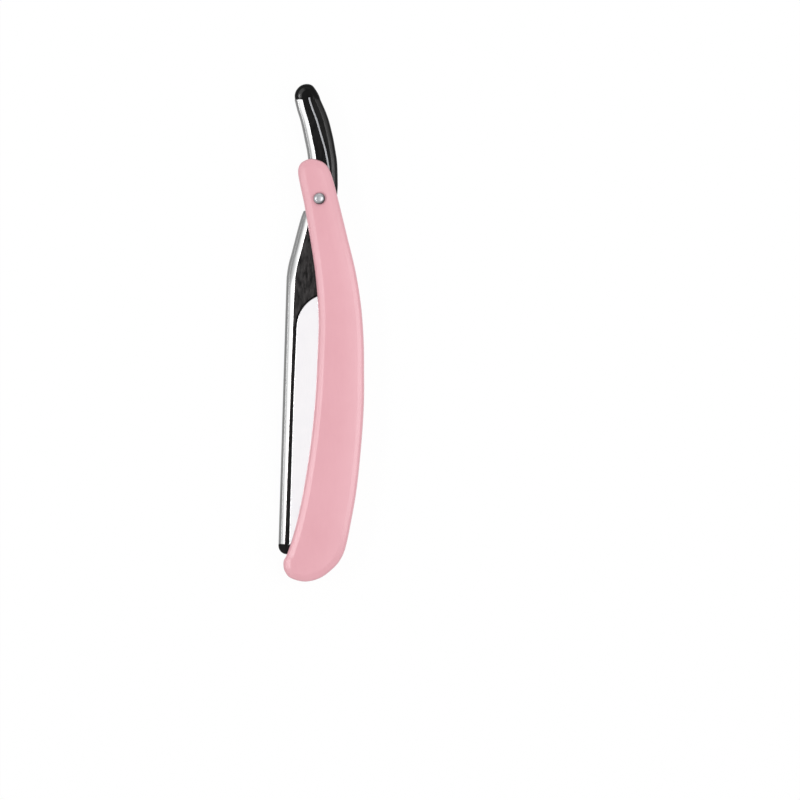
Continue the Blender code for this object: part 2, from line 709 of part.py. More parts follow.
def build_strips():
    """Steel strips along the back of the tail and of the head."""
    rear = MID - STRIP_HALF
    front = MID + STRIP_HALF
    top = TAIL_LENGTH - CAP_LENGTH - FIT
    bottom = head_point(WEB_END, -SPINE_OFFSET)[1]
    tail_rows = spread(top, STRIP_CLEARANCE, ARC_STEPS) + spread(STRIP_CLEARANCE, 0, ARC_STEPS)[1:]
    head_rows = spread(0, -STRIP_CLEARANCE, ARC_STEPS)
    head_rows += spread(-STRIP_CLEARANCE, -NECK_LENGTH, ARC_STEPS)[1:]
    head_rows += spread(-NECK_LENGTH, bottom, ARC_STEPS)[1:]
    for name, rows in (("tail_strip", tail_rows), ("spine_strip", head_rows)):
        outline = band(spine_x, strip_inner_x, rows, STRIP_END_WIDTH)
        strip = sheet(name, [outline], rear, front, FOLD_AXIS, POLISHED_STEEL)
        round_rims(strip, STRIP_ROUNDING, lambda spot: abs(spot.x - spine_x(spot.y)) < SLIVER)


def build_tail():
    """Trim, finger rest and end cap on the tail."""
    top = TAIL_LENGTH - CAP_LENGTH - FIT
    rows = spread(top, REST_END, ARC_STEPS)
    half = TRIM_WIDTH / 2
    rear = MID - TANG_HALF
    front = MID + TANG_HALF
    trim = band(lambda y: x_at(TRIM, y) - half, lambda y: x_at(TRIM, y) + half, rows)
    sheet("tail_trim", [trim], rear, front, FOLD_AXIS, GROUND_STEEL)
    grip = band(lambda y: x_at(TRIM, y) + half + FIT, lambda y: x_at(GRIP, y), rows)
    rest = sheet("finger_rest", [grip], rear, front, FOLD_AXIS, BLACK)
    round_rims(rest, REST_ROUNDING, lambda spot: abs(spot.x - x_at(GRIP, spot.y)) < SLIVER)
    cap = sheet("tail_cap", [CAP], MID - STRIP_HALF, MID + STRIP_HALF, FOLD_AXIS, BLACK)
    base = TAIL_LENGTH - CAP_LENGTH
    round_rims(cap, CAP_ROUNDING, lambda spot: spot.y > base + SLIVER)


def blade_outline():
    """The blade: one long half, with half-round notches along its back for the studs."""
    radius = STUD_RADIUS + FIT
    points = [head_point(BLADE_TOP, BLADE_BACK)]
    for along, across in stud_places():
        points += head_arc(along, across, radius, math.pi / 2, -math.pi / 2)
    points += [head_point(BLADE_END, BLADE_BACK), head_point(BLADE_END, EDGE_ACROSS)]
    points.append(head_point(BLADE_TOP, EDGE_ACROSS))
    return points


def build_head():
    """Bed plate, its rivets and studs, the blade and the end piece."""
    pin = head_circle(PIN_ALONG, PIN_ACROSS, CLAMP_PIN_RADIUS + FIT)
    rivets = [head_circle(*spot, RIVET_RADIUS + FIT) for spot in rivet_places()]
    studs = [head_circle(*spot, STUD_RADIUS + FIT) for spot in stud_places()]
    loops = [plate_outline(FIT), pin, *rivets, *studs]
    sheet("bed_plate", loops, BED_REAR, BED_FRONT, FOLD_AXIS, PLATE_STEEL)
    for number, spot in enumerate(rivet_places(), 1):
        rivet = head_circle(*spot, RIVET_RADIUS)
        sheet(f"bed_rivet_{number}", [rivet], WEB_REAR, BED_FRONT, FOLD_AXIS, GROUND_STEEL)
    for number, spot in enumerate(stud_places(), 1):
        stud = head_circle(*spot, STUD_RADIUS)
        sheet(f"blade_stud_{number}", [stud], BED_REAR, BLADE_FRONT, FOLD_AXIS, GROUND_STEEL)

    blade = sheet("razor_blade", [blade_outline()], BLADE_REAR, BLADE_FRONT, FOLD_AXIS, GROUND_STEEL)
    middle = (BLADE_REAR + BLADE_FRONT) / 2
    edge = [vertex for vertex in blade.data.vertices if across_of(vertex.co) > EDGE_ACROSS - SLIVER]
    for vertex in edge:
        vertex.co.z = middle + (vertex.co.z - middle) * BLADE_EDGE_SHARE

    tip = sheet("end_tip", [TIP], MID - STRIP_HALF, MID + STRIP_HALF, FOLD_AXIS, BLACK)
    start = TIP_STOP_WIDTH - SPINE_OFFSET
    corners = [(TIP_TOP - OVERRUN, start), (HEAD_REACH + OVERRUN, start)]
    corners += [(HEAD_REACH + OVERRUN, HEAD_WIDTH), (TIP_TOP - OVERRUN, HEAD_WIDTH)]
    step = [head_point(*corner) for corner in corners]
    carve(tip, cutter("tip_front_step", [step], MID + STACK_HALF, MID + STRIP_HALF + OVERRUN))
    carve(tip, cutter("tip_rear_step", [step], MID - STRIP_HALF - OVERRUN, MID - STACK_HALF))


def build_clamp():
    """The clamp plate, its bush and the pin that it swings on."""
    bush_radius = CLAMP_PIN_RADIUS + FIT + CLAMP_BUSH_WALL
    centre = head_point(PIN_ALONG, PIN_ACROSS)
    hole = head_circle(PIN_ALONG, PIN_ACROSS, bush_radius + FIT, ROUND_STEPS)
    sheet("clamp_plate", [plate_outline(0), hole], CLAMP_REAR, CLAMP_FRONT, CLAMP_AXIS, PLATE_STEEL)
    bush = ring_profile(CLAMP_PIN_RADIUS + FIT, bush_radius, BED_FRONT + FIT, CLAMP_FRONT)
    turned("clamp_bush", bush, centre, ROUND_STEPS, CLAMP_AXIS, BRASS, closed=True)

    front = CLAMP_FRONT + FIT
    rear = WEB_REAR - FIT
    head = CLAMP_PIN_HEAD_RADIUS
    profile = [(0, front + CLAMP_PIN_HEAD), (head, front + CLAMP_PIN_HEAD), (head, front)]
    profile += [(CLAMP_PIN_RADIUS, front), (CLAMP_PIN_RADIUS, rear), (head, rear)]
    profile += [(head, rear - CLAMP_PIN_HEAD), (0, rear - CLAMP_PIN_HEAD)]
    turned("clamp_pin", profile, centre, ROUND_STEPS, FOLD_AXIS, GROUND_STEEL)


def across_of(spot):
    """How far a point lies across the head from its axis."""
    return spot.x * math.cos(HEAD_TILT) - spot.y * math.sin(HEAD_TILT)


build_scales()
build_handle_end()
build_pivot()
build_tang()
build_strips()
build_tail()
build_head()
build_clamp()
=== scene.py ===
"""Looks of a folding razor with a swing-out blade clamp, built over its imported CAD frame.

The razor lies on its rear scale: +X points to the handle's convex back, +Y to the tail and +Z to
the front scale. Every outline is drawn from the fold pivot, then moved to where the CAD has it.
"""

from __future__ import annotations

import logging
import math
from collections.abc import Callable, Sequence
from dataclasses import dataclass, replace
from enum import Enum
from functools import cached_property
from typing import ClassVar

import bmesh
import bpy
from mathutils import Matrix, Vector


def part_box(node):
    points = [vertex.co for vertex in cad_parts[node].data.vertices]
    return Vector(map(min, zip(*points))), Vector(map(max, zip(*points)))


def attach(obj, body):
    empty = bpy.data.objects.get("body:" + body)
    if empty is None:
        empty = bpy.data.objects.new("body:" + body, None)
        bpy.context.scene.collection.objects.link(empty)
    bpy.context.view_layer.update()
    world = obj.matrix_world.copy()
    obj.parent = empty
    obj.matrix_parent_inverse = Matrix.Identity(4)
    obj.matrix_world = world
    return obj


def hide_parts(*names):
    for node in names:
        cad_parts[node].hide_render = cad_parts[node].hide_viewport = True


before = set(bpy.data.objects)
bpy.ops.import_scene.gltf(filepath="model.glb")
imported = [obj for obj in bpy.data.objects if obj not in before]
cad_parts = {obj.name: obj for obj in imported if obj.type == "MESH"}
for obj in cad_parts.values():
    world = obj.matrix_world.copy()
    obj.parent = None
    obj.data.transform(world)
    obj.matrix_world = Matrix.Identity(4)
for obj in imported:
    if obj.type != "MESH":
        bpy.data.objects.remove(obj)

MM = 0.001
HAIR = 0.001 * MM  # points that are closer than this are one point
OVERRUN = 1 * MM  # how far a cutter reaches past what it cuts
LEVEL = 0.7  # how upright a normal is on a face that counts as level
FLAT = 0.9  # how upright it is on a front or rear face
SHARP = math.radians(35)  # edges that turn more than this are broken
SMOOTH = math.radians(50)  # and those that turn less than this are shaded smooth
WHITE = (1.0, 1.0, 1.0, 1.0)
LOG = logging.getLogger("folding_razor")

Point = tuple[float, float]
Line = list[Point]
Colour = tuple[int, int, int]


class Body(Enum):
    """The bodies that pieces ride on."""

    HANDLE = "handle"
    ARM = "blade_arm"
    CLAMP = "clamp"


class Slot(Enum):
    """The record's material slots."""

    PINK = "pink_plastic"
    BLACK = "black_plastic"
    POLISHED = "polished_steel"
    PLATE = "plate_steel"
    GROUND = "ground_steel"
    BLADE = "blade_steel"
    BRASS = "brass"
    NYLON = "nylon"


class Part(Enum):
    """What a selection picks in edit mode."""

    EDGES = "EDGE"
    FACES = "FACE"


# ---------------------------------------------------------------------------------------------
# Shader nodes
# ---------------------------------------------------------------------------------------------


def linear(colour: Colour) -> tuple[float, float, float, float]:
    """Scene-linear value of an 8-bit colour.

    Args:
        colour: red, green and blue levels from 0 to 255.

    Returns:
        The colour as a socket takes it, with full alpha.
    """
    levels = []
    for level in colour:
        share = level / 255
        levels.append(share / 12.92 if share <= 0.04045 else ((share + 0.055) / 1.055) ** 2.4)
    return (*levels, 1.0)


class Signal:
    """A shader value that takes part in Python sums."""

    def __init__(self, graph: Graph, socket: bpy.types.NodeSocket) -> None:
        """Wrap an output socket of a graph."""
        self.graph = graph
        self.socket = socket

    def _math(self, operation: str, first: Value, second: Value) -> Signal:
        """Add one Math node."""
        return self.graph.node("ShaderNodeMath", {"operation": operation}, {0: first, 1: second})

    def __add__(self, other: Value) -> Signal:
        """This value plus another."""
        return self._math("ADD", self, other)

    __radd__ = __add__

    def __sub__(self, other: Value) -> Signal:
        """This value less another."""
        return self._math("SUBTRACT", self, other)

    def __rsub__(self, other: Value) -> Signal:
        """Another value less this one."""
        return self._math("SUBTRACT", other, self)

    def __mul__(self, other: Value) -> Signal:
        """This value times another."""
        return self._math("MULTIPLY", self, other)

    __rmul__ = __mul__

    def capped(self) -> Signal:
        """This value held between 0 and 1."""
        return self.graph.node("ShaderNodeClamp", {}, {"Value": self})


Value = Signal | float | int | tuple


class Graph:
    """A node tree that is written as Python expressions."""

    def __init__(self, tree: bpy.types.NodeTree) -> None:
        """Start from an empty tree."""
        self.tree = tree
        tree.nodes.clear()

    def node(
        self,
        kind: str,
        settings: dict[str, object] | None = None,
        sockets: dict[str | int, Value] | None = None,
        output: str | int = 0,
    ) -> Signal:
        """Add a node.

        Args:
            kind: the node's type.
            settings: its options, set before its sockets; "stops" fills a colour ramp.
            sockets: values or links of its inputs, by name or number.
            output: the output that is wanted.

        Returns:
            That output.
        """
        made = self.tree.nodes.new(kind)
        for name, value in (settings or {}).items():
            if name == "stops":
                self._fill_ramp(made.color_ramp, value)
            else:
                setattr(made, name, value)
        for name, value in (sockets or {}).items():
            if isinstance(value, Signal):
                self.tree.links.new(value.socket, made.inputs[name])
            else:
                made.inputs[name].default_value = value
        return Signal(self, made.outputs[output]) if made.outputs else Signal(self, None)

    @staticmethod
    def _fill_ramp(ramp: bpy.types.ColorRamp, stops: Sequence[tuple[float, tuple]]) -> None:
        """Give a ramp its stops.

        Args:
            ramp: the ramp.
            stops: place and colour of each stop.
        """
        while len(ramp.elements) < len(stops):
            ramp.elements.new(1.0)
        for element, (place, colour) in zip(ramp.elements, stops):
            element.position = place
            element.color = colour

    def mix(self, share: Value, first: Value, second: Value) -> Signal:
        """Blend two colours; the share is how much of the second one shows."""
        sockets = {"Factor": share, 6: first, 7: second}
        return self.node("ShaderNodeMix", {"data_type": "RGBA"}, sockets, output=2)

    def ramp(self, share: Signal, stops: Sequence[tuple[float, Colour]]) -> Signal:
        """Colours that follow a value."""
        filled = [(place, linear(colour)) for place, colour in stops]
        return self.node("ShaderNodeValToRGB", {"stops": filled}, {"Fac": share})

    def coordinates(self, stretch: Sequence[float] = (1, 1, 1), turn: float = 0.0) -> Signal:
        """Object coordinates, scaled along each axis.

        Args:
            stretch: factor along x, y and z.
            turn: angle about z before scaling.

        Returns:
            The coordinates.
        """
        place = self.node("ShaderNodeTexCoord", output="Object")
        sockets = {"Vector": place, "Rotation": (0.0, 0.0, turn), "Scale": tuple(stretch)}
        return self.node("ShaderNodeMapping", {"vector_type": "POINT"}, sockets)

    def coordinate(self, axis: str) -> Signal:
        """One of the object coordinates, by its letter."""
        return self.node("ShaderNodeSeparateXYZ", {}, {0: self.coordinates()}, axis)

    def height_from(self, middle: float) -> Signal:
        """How far a place lies above or below a height."""
        rise = self.coordinate("Z") - middle
        return self.node("ShaderNodeMath", {"operation": "ABSOLUTE"}, {0: rise})

    def distance(self, spot: tuple[float, float, float]) -> Signal:
        """How far a place lies from the upright axis through a spot at height 0."""
        sockets = {0: self.coordinates((1, 1, 0)), 1: spot}
        return self.node("ShaderNodeVectorMath", {"operation": "DISTANCE"}, sockets, "Value")

    def noise(self, place: Signal, size: float, detail: float = 2.0) -> Signal:
        """Smooth noise around zero, whose bumps have a size in metres."""
        sockets = {"Vector": place, "Scale": 1 / size, "Detail": detail}
        return self.node("ShaderNodeTexNoise", {}, sockets) - 0.5

    def bump(self, height: Signal, depth: float, strength: float) -> Signal:
        """Normals of a fine relief, by its full depth in metres and its strength."""
        sockets = {"Height": height, "Distance": depth, "Strength": strength}
        return self.node("ShaderNodeBump", {}, sockets)

    def surface(self, sockets: dict[str | int, Value]) -> None:
        """Finish with a Principled surface of these inputs."""
        shader = self.node("ShaderNodeBsdfPrincipled", {}, sockets)
        self.node("ShaderNodeOutputMaterial", {}, {"Surface": shader})


# ---------------------------------------------------------------------------------------------
# Finishes
# ---------------------------------------------------------------------------------------------


@dataclass(frozen=True)
class Finish:
    """What a piece is made of and how its surface is left."""

    name: str
    slot: Slot
    roughness: float

    def shade(self, graph: Graph) -> None:
        """Write the surface; each kind of finish has its own."""
        raise NotImplementedError(self.name)

    def material(self) -> bpy.types.Material:
        """The finish as a material, made once.

        Returns:
            The material.
        """
        made = bpy.data.materials.get(self.name)
        if made is None:
            made = bpy.data.materials.new(self.name)
            made.use_nodes = True
            self.shade(Graph(made.node_tree))
        return made


@dataclass(frozen=True, kw_only=True)
class MouldedPlastic(Finish):
    """Plastic from a mould: slow drift of tone, fine spark-eroded grain and flow marks."""

    colour: Colour
    tone: Colour
    tone_level: float = 0.5
    specular: float = 0.5
    drift: float = 14 * MM
    drift_tone: float = 2.2
    grain: float = 0.16 * MM
    grain_tone: float = 0.5
    grain_depth: float = 0.004 * MM
    flow: float = 0.9 * MM
    flow_tone: float = 0.9
    flow_depth: float = 0.006 * MM
    flow_stretch: float = 0.25
    roughness_swing: float = 0.12
    coat_roughness: float = 0.15

    def gloss(self, graph: Graph) -> Value:
        """Weight of the polish over the plastic."""
        return 0.0

    def base(self, graph: Graph, share: Signal) -> Signal:
        """Colour between the two tones."""
        return graph.mix(share, linear(self.colour), linear(self.tone))

    def shade(self, graph: Graph) -> None:
        """Write the surface.

        Args:
            graph: where its nodes go.
        """
        place = graph.coordinates()
        along = graph.coordinates((1, self.flow_stretch, 1))
        slow = graph.noise(place, self.drift, detail=3)
        grain = graph.noise(place, self.grain, detail=4)
        flow = graph.noise(along, self.flow, detail=3)
        share = slow * self.drift_tone + flow * self.flow_tone + grain * self.grain_tone
        relief = grain * (self.grain_depth / self.flow_depth) + flow
        graph.surface({
            "Base Color": self.base(graph, (share + self.tone_level).capped()),
            "Roughness": (self.roughness + grain * self.roughness_swing).capped(),
            "Normal": graph.bump(relief, self.flow_depth, strength=1.0),
            "Specular IOR Level": self.specular,
            "Coat Weight": self.gloss(graph),
            "Coat Roughness": self.coat_roughness,
        })


@dataclass(frozen=True, kw_only=True)
class HandledPlastic(MouldedPlastic):
    """Plastic whose rounded rims are polished by fingers."""

    middle: float = 4.9 * MM
    face: float = 2.15 * MM
    polished_from: float = 0.0
    polished_to: float = 0.16 * MM
    blend: float = 0.03 * MM
    fade: float = 4.0
    polish: float = 0.5

    def gloss(self, graph: Graph) -> Value:
        """Polish in a band just below the front and rear faces.

        Args:
            graph: where its nodes go.

        Returns:
            Weight of the polish.
        """
        drop = self.face - graph.height_from(self.middle)
        start = ((drop - self.polished_from) * (1 / self.blend)).capped()
        end = ((self.polished_to - drop) * (1 / (self.fade * self.blend))).capped()
        return start * end * self.polish


@dataclass(frozen=True, kw_only=True)
class ThumbedPlastic(HandledPlastic):
    """Handled plastic that a thumb has polished brighter in one place."""

    thumb: tuple[float, float, float] = (-6.1 * MM, 69.5 * MM, 0.0)
    reach: float = 1.9 * MM
    firmness: float = 2.5
    elsewhere: float = 0.04

    def gloss(self, graph: Graph) -> Value:
        """Polish that is strong under the thumb and weak elsewhere.

        Args:
            graph: where its nodes go.

        Returns:
            Weight of the polish.
        """
        away = graph.distance(self.thumb)
        near = ((self.reach - away) * (self.firmness / self.reach)).capped()
        return super().gloss(graph) * (near * (1 - self.elsewhere) + self.elsewhere)


@dataclass(frozen=True, kw_only=True)
class TangPlastic(MouldedPlastic):
    """Black plastic whose neck is a little paler than its tail."""

    neck_shades: tuple[Colour, Colour] = ((19, 18, 18), (63, 61, 61))
    neck_top: float = 34 * MM
    fade: float = 6 * MM

    def base(self, graph: Graph, share: Signal) -> Signal:
        """Colour that pales below the pivot.

        Args:
            graph: where its nodes go.
            share: how much of the second tone shows.

        Returns:
            The colour.
        """
        below = ((self.neck_top - graph.coordinate("Y")) * (1 / self.fade)).capped()
        neck = graph.mix(share, *map(linear, self.neck_shades))
        return graph.mix(below, super().base(graph, share), neck)


@dataclass(frozen=True, kw_only=True)
class Metal(Finish):
    """Metal with the fine lines of its last tool and faint smears."""

    line: float = 0.05 * MM
    line_stretch: float = 0.02
    line_turn: float = 0.0
    line_depth: float = 0.001 * MM
    relief: float = 0.8
    smear: float = 6 * MM
    roughness_swing: float = 0.08

    def lines(self, graph: Graph) -> Signal:
        """Lines of the last tool."""
        along = graph.coordinates((1, self.line_stretch, 1), self.line_turn)
        return graph.noise(along, self.line, detail=3)

    def smears(self, graph: Graph) -> Signal:
        """Faint smears."""
        return graph.noise(graph.coordinates(), self.smear)

    def swing(self, noise: Signal) -> Signal:
        """What a noise adds to the roughness."""
        return noise * self.roughness_swing

    def write(self, graph: Graph, base: Signal, rough: Signal, height: Signal) -> None:
        """Write a metal surface.

        Args:
            graph: where its nodes go.
            base: its colour.
            rough: its roughness.
            height: relief of its marks.
        """
        graph.surface({
            "Base Color": base,
            "Metallic": 1.0,
            "Roughness": rough.capped(),
            "Normal": graph.bump(height, self.line_depth, self.relief),
        })


@dataclass(frozen=True, kw_only=True)
class WorkedMetal(Metal):
    """Metal whose colour wanders between two tones, with fine pits."""

    colour: Colour
    tone: Colour
    line_tone: float = 1.4
    smear_tone: float = 1.2
    tone_level: float = 0.4
    pit: float = 0.25 * MM
    pit_depth: float = 0.3

    def base(self, graph: Graph, share: Signal) -> Signal:
        """Colour between the two tones."""
        return graph.mix(share, linear(self.colour), linear(self.tone))

    def level(self, graph: Graph) -> Value:
        """Roughness before its lines and smears."""
        return self.roughness

    def shade(self, graph: Graph) -> None:
        """Write the surface.

        Args:
            graph: where its nodes go.
        """
        lines, smears = self.lines(graph), self.smears(graph)
        pits = graph.noise(graph.coordinates(), self.pit, detail=3)
        share = lines * self.line_tone + smears * self.smear_tone + self.tone_level
        rough = self.level(graph) + self.swing(lines) + self.swing(smears)
        base = self.base(graph, share.capped())
        self.write(graph, base, rough, lines + pits * self.pit_depth)


@dataclass(frozen=True, kw_only=True)
class SheetSteel(WorkedMetal):
    """Bright sheet whose edges are ground and rougher, with a darker grey painted on them as
    shade.
    """

    middle: float
    half: float
    # Painted shade: the grey laid on the ground edges.
    edge: Colour = (168, 168, 172)
    edge_drop: float = 0.06 * MM
    edge_roughness: float = 0.55

    def ground(self, graph: Graph) -> Signal:
        """One on the edges and nothing on the faces."""
        return ((self.half - graph.height_from(self.middle)) * (1 / self.edge_drop)).capped()

    def base(self, graph: Graph, share: Signal) -> Signal:
        """Colour between the two tones, with a painted shade grey on the edges."""
        return graph.mix(self.ground(graph), super().base(graph, share), linear(self.edge))

    def level(self, graph: Graph) -> Value:
        """Roughness that rises on the edges."""
        return self.ground(graph) * (self.edge_roughness - self.roughness) + self.roughness


@dataclass(frozen=True, kw_only=True)
class SpineSteel(Metal):
    """Steel polished in front and satin round the spine's back, with shade and dark reflections
    painted on that back as darker greys.
    """

    attribute: ClassVar[str] = "across_back"
    # Painted shade and reflection: greys across the rounded back, darker where it would mirror
    # dark surroundings.
    back: tuple[tuple[float, Colour], ...] = (
        (0.0, (166, 166, 166)), (0.25, (128, 128, 128)), (0.5, (115, 115, 115)),
        (0.68, (134, 134, 134)), (0.85, (193, 193, 193)), (1.0, (250, 250, 250)),
    )
    back_roughness: float = 0.6
    raggedness: float = 0.1

    def shade(self, graph: Graph) -> None:
        """Write the surface.

        Args:
            graph: where its nodes go.
        """
        lines, smears = self.lines(graph), self.smears(graph)
        settings = {"attribute_type": "GEOMETRY", "attribute_name": self.attribute}
        across = graph.node("ShaderNodeAttribute", settings, output="Fac")
        across = (across + lines * self.raggedness).capped()
        rough = self.back_roughness + across * (self.roughness - self.back_roughness)
        rough = rough + self.swing(smears) + self.swing(lines)
        # The greys across the back are painted shade and reflection; only the roughness there is
        # real satin.
        self.write(graph, graph.ramp(across, self.back), rough, lines)


@dataclass(frozen=True, kw_only=True)
class RivetSteel(Metal):
    """Polished steel with shade painted darker round the rivet's lower right rim."""

    line: float = 0.12 * MM
    relief: float = 0.6
    smear: float = 1.2 * MM
    # Lighter centre of the painted shade; the colour darkens with distance from it.
    lit_centre_of_painted_shade: tuple[float, float, float] = (-0.96 * MM, 39.0 * MM, 0.0)
    # Painted shade: greys that darken towards the lower right rim, where the dome turns from the
    # light.
    rim: tuple[tuple[float, Colour], ...] = (
        (0.0, (164, 165, 168)), (0.62, (160, 160, 163)), (0.78, (112, 111, 114)),
        (0.9, (78, 75, 77)), (1.0, (92, 86, 88)),
    )
    reach: float = 2.25 * MM
    raggedness: float = 0.1

    def shade(self, graph: Graph) -> None:
        """Write the surface.

        Args:
            graph: where its nodes go.
        """
        place = graph.coordinates((1, 1, 0))
        smears = graph.noise(place, self.smear)
        marks = graph.noise(place, self.line, detail=3)
        # Painted shade grows with distance from the lighter centre.
        away = graph.distance(self.lit_centre_of_painted_shade) * (1 / self.reach)
        share = (away + smears * self.raggedness).capped()
        self.write(graph, graph.ramp(share, self.rim), self.roughness + self.swing(smears), marks)


BLACK_MIX = {
    "colour": (8, 8, 8), "tone": (27, 26, 26), "specular": 0.085, "drift": 5 * MM,
    "flow": 0.45 * MM, "flow_stretch": 0.6, "roughness_swing": 0.16,
}
BLACK = MouldedPlastic("gloss_black_plastic", Slot.BLACK, 0.2, **BLACK_MIX)
TANG = TangPlastic(
    "gloss_black_tang_plastic", Slot.BLACK, 0.2,
    **BLACK_MIX | {"flow": 0.6 * MM, "flow_stretch": 0.3, "drift_tone": 1.2, "flow_tone": 3.0},
)
REST = HandledPlastic(
    "handled_rest_plastic", Slot.BLACK, 0.2, polished_to=0.45 * MM, polish=0.55,
    coat_roughness=0.25, **BLACK_MIX,
)
CAP = ThumbedPlastic(
    "handled_cap_plastic", Slot.BLACK, 0.2, face=2.2 * MM, polished_from=0.02 * MM,
    polished_to=0.4 * MM, polish=1.0, coat_roughness=0.25,
    **BLACK_MIX | {"colour": (5, 5, 5), "tone": (17, 17, 17), "specular": 0.08},
)
PINK = HandledPlastic(
    "satin_pink_plastic", Slot.PINK, 0.36, colour=(220, 161, 170), tone=(224, 166, 175),
    face=4.9 * MM, polished_from=0.32 * MM, polished_to=20 * MM, blend=0.15 * MM, polish=0.32,
)
NYLON = MouldedPlastic(
    "natural_nylon", Slot.NYLON, 0.5, colour=(216, 213, 203), tone=(226, 224, 216),
    drift=3 * MM,
)
PLATE = SheetSteel(
    "mirror_plate_steel", Slot.PLATE, 0.12, colour=(248, 245, 247), tone=(241, 239, 242),
    line_turn=math.radians(-1.73), roughness_swing=0.05, middle=6.0975 * MM, half=0.3775 * MM,
)
BED = replace(PLATE, name="mirror_bed_steel", middle=4.8125 * MM, half=0.5875 * MM)
SPINE = SpineSteel("spine_steel", Slot.POLISHED, 0.16, line_turn=math.radians(2))
RIVET = RivetSteel("turned_rivet_steel", Slot.POLISHED, 0.31)
GROUND = WorkedMetal(
    "ground_steel", Slot.GROUND, 0.3, colour=(190, 192, 197), tone=(170, 173, 179),
)
TRIM = WorkedMetal(
    "dull_trim_steel", Slot.GROUND, 0.32, colour=(160, 161, 164), tone=(146, 147, 150),
)
BLADE = WorkedMetal(
    "honed_blade_steel", Slot.BLADE, 0.2, colour=(205, 208, 213), tone=(186, 190, 197),
    line_turn=math.radians(88.27), line=0.03 * MM,
)
BRASS = WorkedMetal(
    "turned_brass", Slot.BRASS, 0.3, colour=(206, 170, 98), tone=(186, 148, 80),
    line_stretch=1.0, line=0.1 * MM, smear=2 * MM,
)


# ---------------------------------------------------------------------------------------------
# The bench: Blender's modelling tools
# ---------------------------------------------------------------------------------------------


def release() -> None:
    """Leave edit mode and let go of everything."""
    if bpy.context.object is not None and bpy.context.object.mode != "OBJECT":
        bpy.ops.object.mode_set(mode="OBJECT")
    bpy.ops.object.select_all(action="DESELECT")


